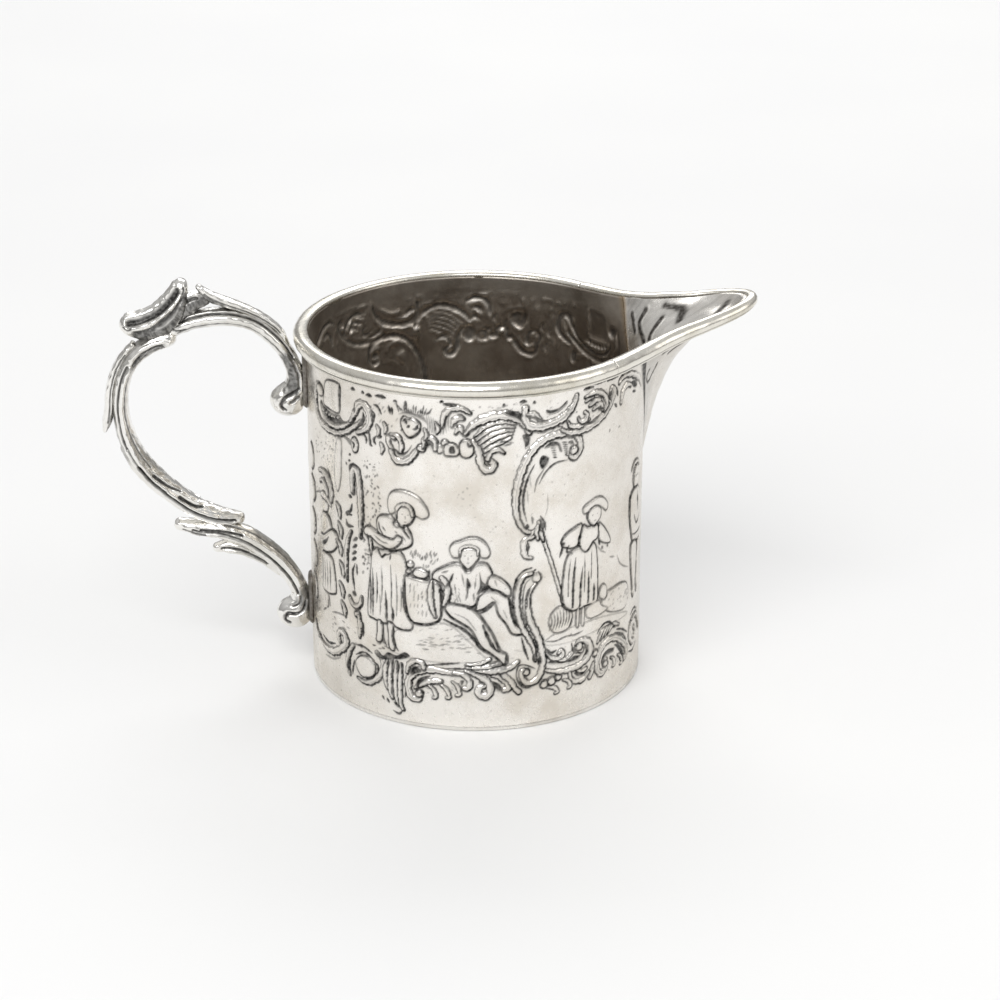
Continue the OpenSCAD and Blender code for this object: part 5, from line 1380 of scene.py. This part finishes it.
def casting(name, path, node, strokes_on, n=240, around=80, flat=2.2, deep=((0, 1), (1, 1)), oxide_and_shade_zones=()):
    """A sculpted bar along a path. Strokes are chased or raised lines on both of its sides,
    at (share of the length, share of the way from its outer to its inner edge)."""
    p, total = line_through(path, n)
    d = np.gradient(p[:, :2], axis=0)
    d /= np.linalg.norm(d, axis=1)[:, None]
    nrm = np.stack([-d[:, 1], d[:, 0]], -1)
    mid = np.array([-R - 17 * REACH, 46.0])
    if ((p[:, :2] - mid) * nrm).sum(1).mean() < 0:
        nrm = -nrm
    s = np.linspace(0, total, n)
    a_end, b_end = p[0, 2], p[-1, 2]
    e0, e1 = np.clip(s / a_end, 0, 1), np.clip((total - s) / b_end, 0, 1)
    shrink = np.sqrt(np.clip(1 - (1 - e0) ** 2, 0, 1)) * np.sqrt(np.clip(1 - (1 - e1) ** 2, 0, 1))
    phi = np.arange(around) * 2 * math.pi / around
    c, sn = np.cos(phi), np.sin(phi)
    ox = np.sign(c) * np.abs(c) ** (2 / flat)
    oy = np.sign(sn) * np.abs(sn) ** (2 / flat)
    v = np.abs((phi + math.pi) % (2 * math.pi) - math.pi) / math.pi
    U, V = np.meshgrid(s, v, indexing="ij")
    half_round = math.pi / 2 * (p[:, 2] + p[:, 3])
    Y = V * half_round[:, None]
    up = np.zeros_like(U)
    ink = np.zeros_like(U)
    for pts, width, lift, black in strokes_on:
        line = curve(pts, scale=1.0, gap=0.03)
        lx = line[:, 0] * total
        ly = line[:, 1] * np.interp(lx, s, half_round)
        dist = np.full(U.shape, 9.0)
        for k in range(len(lx) - 1):
            w = np.array([lx[k + 1] - lx[k], ly[k + 1] - ly[k]])
            t = np.clip(((U - lx[k]) * w[0] + (Y - ly[k]) * w[1]) / max(w @ w, 1e-9), 0, 1)
            dist = np.minimum(dist, np.hypot(U - lx[k] - t * w[0], Y - ly[k] - t * w[1]))
        m = np.clip(1 - (dist / (width / 2)) ** 2, 0, 1)
        up += lift * m
        ink = np.maximum(ink, black * soft(m * 1.3))
    grain = 0.03 * np.sin(U * 3.1 + 2 * np.sin(Y * 2.3)) + 0.025 * np.sin(Y * 4.7 + U * 1.3)
    S = U / total
    cast = rng.normal(0, 1, U.shape)
    for _ in range(6):
        cast = (np.roll(cast, 1, 1) + np.roll(cast, -1, 1) + cast + np.vstack([cast[1:], cast[-1:]])
                + np.vstack([cast[:1], cast[:-1]])) / 5
    cast /= cast.std()
    # Broad patches sunk 0.12 mm and darkened: oxide in the handle's channels, with painted shade where its
    # recesses and inner edges fall into shade.
    for s0, s1, v0, v1, black in oxide_and_shade_zones:
        m = soft((S - s0) / 0.04 + 0.5) * soft((s1 - S) / 0.04 + 0.5)
        m = m * soft((V - v0) / 0.08 + 0.5) * soft((v1 - V) / 0.08 + 0.5)
        ink = np.maximum(ink, m * black * (0.9 + 0.1 * np.clip(cast, -1, 1)))
        up = up - 0.12 * m + 0.012 * m * cast
    up = up + grain
    under_side = np.where(ox < 0, 1.0,
                          0.0)[None] * (np.interp(s / total, *np.array(deep, float).T)[:, None] - 1) + 1
    thick = (p[:, 2] * shrink)[:, None] * ox[None] * under_side + up * c[None] * shrink[:, None]
    wide = (p[:, 3] * shrink)[:, None] * oy[None] + up * sn[None] * shrink[:, None]
    co = np.stack([p[:, 0, None] + nrm[:, 0, None] * thick, wide, p[:, 1, None] + nrm[:, 1, None] * thick],
                  -1)
    keep = slice(1, n - 1)
    co, ink = co[keep], ink[keep]
    m = n - 2
    pts = np.vstack([co.reshape(-1, 3), co[0].mean(0), co[-1].mean(0)])
    quads = grid_quads(m, around, wrap=True)
    tri = end_fans(m, around, flip=True)
    cross = np.cross(co[m // 2, 1] - co[m // 2, 0], co[m // 2 + 1, 0] - co[m // 2, 0])
    out = co[m // 2, 0] - co[m // 2].mean(0)
    if cross @ out > 0:
        pass
    else:
        quads, tri = quads[:, ::-1], tri[:, ::-1]
    piece(name, pts, quads, handle_silver, [node],
          {"oxide_and_shade": np.concatenate([ink.ravel(), [ink[0].mean(), ink[-1].mean()]])}, tri)


handle_silver = silver("handle_silver", (0.91, 0.895, 0.86), (0.70, 0.68, 0.63), (0.03, 0.029, 0.028), 0.2,
                       0.5)[0]

casting("upper_arm", UPPER, "handle_upper_scroll", [
    ([(0.08, 0.26), (0.3, 0.3), (0.5, 0.3), (0.68, 0.28)], 0.8, -0.5, 0.97),
    ([(0.05, 0.62), (0.25, 0.66), (0.5, 0.66), (0.66, 0.6)], 0.5, -0.25, 0.8),
    ([(0.05, 0.46), (0.3, 0.48), (0.55, 0.48), (0.7, 0.44)], 1.3, 0.3, 0.0),
    ([(0.03, 0.36), (0.05, 0.5), (0.09, 0.6)], 0.5, -0.25, 0.85),
    ([(0.66, 0.5), (0.74, 0.5), (0.8, 0.46), (0.84, 0.4)], 0.9, 0.3, 0.0),
    ([(0.7, 0.34), (0.78, 0.32), (0.84, 0.28)], 0.9, 0.25, 0.0),
    ([(0.83, 0.36), (0.865, 0.5), (0.9, 0.6), (0.94, 0.6), (0.955, 0.5)], 0.75, -0.5, 0.97),
    ([(0.865, 0.3), (0.89, 0.4), (0.91, 0.46)], 0.7, -0.35, 0.9)],
    oxide_and_shade_zones=[(0.64, 0.88, 0.36, 0.8, 0.9), (0.1, 0.62, 0.0, 0.3, 0.35), (0.0, 0.2, 0.7, 1.1, 0.3)], n=320)
casting("upper_rib", UPPER_RIB, "handle_upper_rib", [
    ([(0.1, 0.5), (0.4, 0.52), (0.85, 0.5)], 0.45, -0.2, 0.85),
    ([(0.05, 0.3), (0.4, 0.3), (0.9, 0.3)], 0.7, 0.15, 0.0)], around=48,
    oxide_and_shade_zones=[(0.0, 0.3, 0.55, 1.1, 0.85), (0.3, 1.0, 0.7, 1.1, 0.8)])
casting("thumb_scroll", THUMB, "thumb_scroll", [
    ([(0.14, 0.36), (0.3, 0.31), (0.5, 0.29), (0.7, 0.31), (0.84, 0.38)], 2.3, -0.85, 1.0),
    ([(0.18, 0.64), (0.3, 0.59), (0.5, 0.54), (0.7, 0.56), (0.8, 0.62)], 0.8, -0.4, 0.95),
    ([(0.08, 0.52), (0.3, 0.48), (0.5, 0.45), (0.7, 0.47), (0.9, 0.53)], 0.9, 0.45, 0.0),
    ([(0.08, 0.16), (0.3, 0.1), (0.6, 0.08), (0.9, 0.16)], 1.0, 0.3, 0.0),
    ([(0.05, 0.5), (0.09, 0.58), (0.13, 0.54)], 0.5, -0.3, 0.9),
    ([(0.93, 0.6), (0.9, 0.66), (0.86, 0.62)], 0.5, -0.3, 0.9)],
    deep=((0, 1), (0.15, 1.5), (0.25, 1.85), (0.5, 1.8), (0.75, 1.3), (1, 1)),
    oxide_and_shade_zones=[(0.14, 0.88, 0.6, 1.1, 0.92)], n=300)
casting("thumb_web", [(25, 66, 1.6, 1.7), (22, 69, 2.1, 1.8), (19.6, 70.6, 1.9, 1.5), (17.6, 70.9, 1.2, 1.1)],
        "thumb_scroll", [
    ([(0.2, 0.3), (0.5, 0.36), (0.8, 0.3)], 0.9, -0.5, 0.95),
    ([(0.3, 0.1), (0.6, 0.08), (0.9, 0.16)], 0.6, 0.2, 0.0)],
    oxide_and_shade_zones=[(0.0, 1.0, 0.24, 1.0, 0.88)], around=56, n=140)
casting("main_scroll", MAIN, "handle_main_scroll", [
    ([(0.3, 0.46), (0.4, 0.42), (0.5, 0.42)], 0.6, -0.3, 0.7),
    ([(0.04, 0.42), (0.14, 0.4), (0.24, 0.38), (0.34, 0.38), (0.42, 0.4)], 1.3, -0.7, 0.98),
    ([(0.5, 0.4), (0.6, 0.42), (0.7, 0.44), (0.8, 0.46)], 0.6, -0.35, 0.9),
    ([(0.05, 0.16), (0.3, 0.14), (0.5, 0.16)], 1.3, 0.3, 0.0),
    ([(0.1, 0.5), (0.25, 0.48), (0.4, 0.52), (0.6, 0.55), (0.8, 0.58)], 1.1, 0.34, 0.0),
    ([(0.4, 0.72), (0.55, 0.7), (0.7, 0.7), (0.8, 0.72)], 0.5, -0.25, 0.75),
    ([(0.26, 0.78), (0.3, 0.66), (0.37, 0.58)], 0.8, -0.45, 0.95),
    ([(0.16, 0.74), (0.19, 0.62), (0.25, 0.56)], 0.8, -0.45, 0.95),
    ([(0.18, 0.8), (0.22, 0.72), (0.28, 0.66)], 0.7, 0.3, 0.0),
    ([(0.83, 0.42), (0.9, 0.44), (0.955, 0.5), (0.97, 0.6), (0.94, 0.7)], 0.9, 0.3, 0.0),
    ([(0.82, 0.62), (0.87, 0.58), (0.93, 0.58), (0.945, 0.66)], 0.9, -0.45, 0.95)],
    oxide_and_shade_zones=[(0.8, 0.95, 0.54, 0.74, 0.9), (0.08, 0.3, 0.28, 0.4, 0.8), (0.45, 0.95, 0.0, 0.28, 0.5),
           (0.0, 0.1, 0.6, 1.1, 0.35)], n=420)
casting("back_leaf", BACK_LEAF, "handle_back_leaf", [
    ([(0.12, 0.55), (0.4, 0.52), (0.85, 0.52)], 0.45, -0.22, 0.85),
    ([(0.05, 0.3), (0.4, 0.3), (0.9, 0.3)], 0.8, 0.16, 0.0)], around=48,
    oxide_and_shade_zones=[(0.0, 0.2, 0.6, 1.1, 0.6), (0.2, 1.0, 0.7, 1.1, 0.85)])
casting("lower_arm", LOWER, "handle_lower_scroll", [
    ([(0.26, 0.62), (0.4, 0.62), (0.55, 0.6), (0.7, 0.58)], 1.0, 0.3, 0.0),
    ([(0.66, 0.56), (0.76, 0.5), (0.86, 0.5)], 0.9, -0.5, 0.95),
    ([(0.22, 0.44), (0.4, 0.42), (0.6, 0.4), (0.8, 0.4), (0.9, 0.44)], 0.8, -0.45, 0.95),
    ([(0.24, 0.26), (0.45, 0.24), (0.7, 0.24), (0.9, 0.3)], 1.1, 0.3, 0.0),
    ([(0.84, 0.3), (0.9, 0.34), (0.95, 0.4)], 0.5, -0.3, 0.9),
    ([(0.74, 0.16), (0.8, 0.2), (0.86, 0.22)], 0.5, -0.3, 0.9),
    ([(0.3, 0.8), (0.5, 0.8), (0.75, 0.78)], 0.6, -0.25, 0.8),
    ([(0.17, 0.66), (0.135, 0.62), (0.1, 0.5), (0.085, 0.36), (0.05, 0.34), (0.04, 0.46)], 0.85, -0.55, 0.97),
    ([(0.2, 0.5), (0.16, 0.46), (0.13, 0.36)], 0.6, -0.35, 0.9)],
    oxide_and_shade_zones=[(0.13, 0.24, 0.5, 0.9, 0.75), (0.26, 0.6, 0.78, 1.1, 0.6), (0.12, 0.2, 0.3, 0.44, 0.6)], n=320)
casting("lower_leaf", LOWER_LEAF, "handle_lower_leaf", [
    ([(0.3, 0.5), (0.6, 0.46), (0.88, 0.46)], 0.7, -0.4, 0.95),
    ([(0.1, 0.3), (0.4, 0.28), (0.85, 0.28)], 0.8, 0.16, 0.0)], around=48,
    oxide_and_shade_zones=[(0.55, 0.9, 0.4, 0.56, 0.9), (0.0, 0.6, 0.7, 1.1, 0.6)])


def pad(name, node):
    lo, hi = (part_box(node)[k] / MM for k in (0, 1))
    w, zc, zh = (hi[1] - lo[1]) / 2, (hi[2] + lo[2]) / 2, (hi[2] - lo[2]) / 2
    thick = -lo[0] - R
    rings, spokes = 26, 96
    rr = np.linspace(0, 1.0, rings)[1:]
    th = np.arange(spokes) * 2 * math.pi / spokes
    ex = np.sign(np.cos(th)) * np.abs(np.cos(th)) ** 0.6
    ez = np.sign(np.sin(th)) * np.abs(np.sin(th)) ** 0.6
    Y, Z = rr[:, None] * ex[None] * w, rr[:, None] * ez[None] * zh
    edge = np.clip((1 - rr) / 0.22, 0, 1)[:, None]
    out = thick * (0.12 + 0.88 * np.sqrt(np.clip(1 - (1 - edge) ** 2, 0,
                                                 1))) + 0.03 * np.sin(Z * 2.1) * np.cos(Y * 1.9)
    front = np.stack([-(np.sqrt(R * R - Y * Y) + np.minimum(out, thick)), Y, zc + Z], -1).reshape(-1, 3)
    back = np.stack([-(np.sqrt(R * R - Y * Y) + 0.02), Y, zc + Z], -1).reshape(-1, 3)
    n = len(front)
    pts = np.vstack([front, back, [[-(R + thick), 0, zc], [-(R + 0.02), 0, zc]]])
    m = rings - 1
    q = [grid_quads(m, spokes, wrap=True), grid_quads(m, spokes, n, wrap=True, flip=True)]
    k = np.arange(spokes)
    kn = (k + 1) % spokes
    q.append(np.stack([(m - 1) * spokes + k, (m - 1) * spokes + kn, n + (m - 1) * spokes + kn,
                       n + (m - 1) * spokes + k], -1))
    t = np.vstack([np.stack([kn, k, np.full(spokes, 2 * n)], -1),
                   np.stack([n + k, n + kn, np.full(spokes, 2 * n + 1)], -1)])
    rim = 0.25 + np.clip(np.repeat(rr, spokes) - 0.7, 0, 1) * 2.4
    ox = np.concatenate([rim, rim, [0, 0]])
    quads = np.vstack(q)
    piece(name, pts, quads, handle_silver, [node],
          {"oxide_and_shade": ox, "solder": ox * 0.12}, t)


pad("upper_pad", "upper_pad")
pad("lower_pad", "lower_pad")
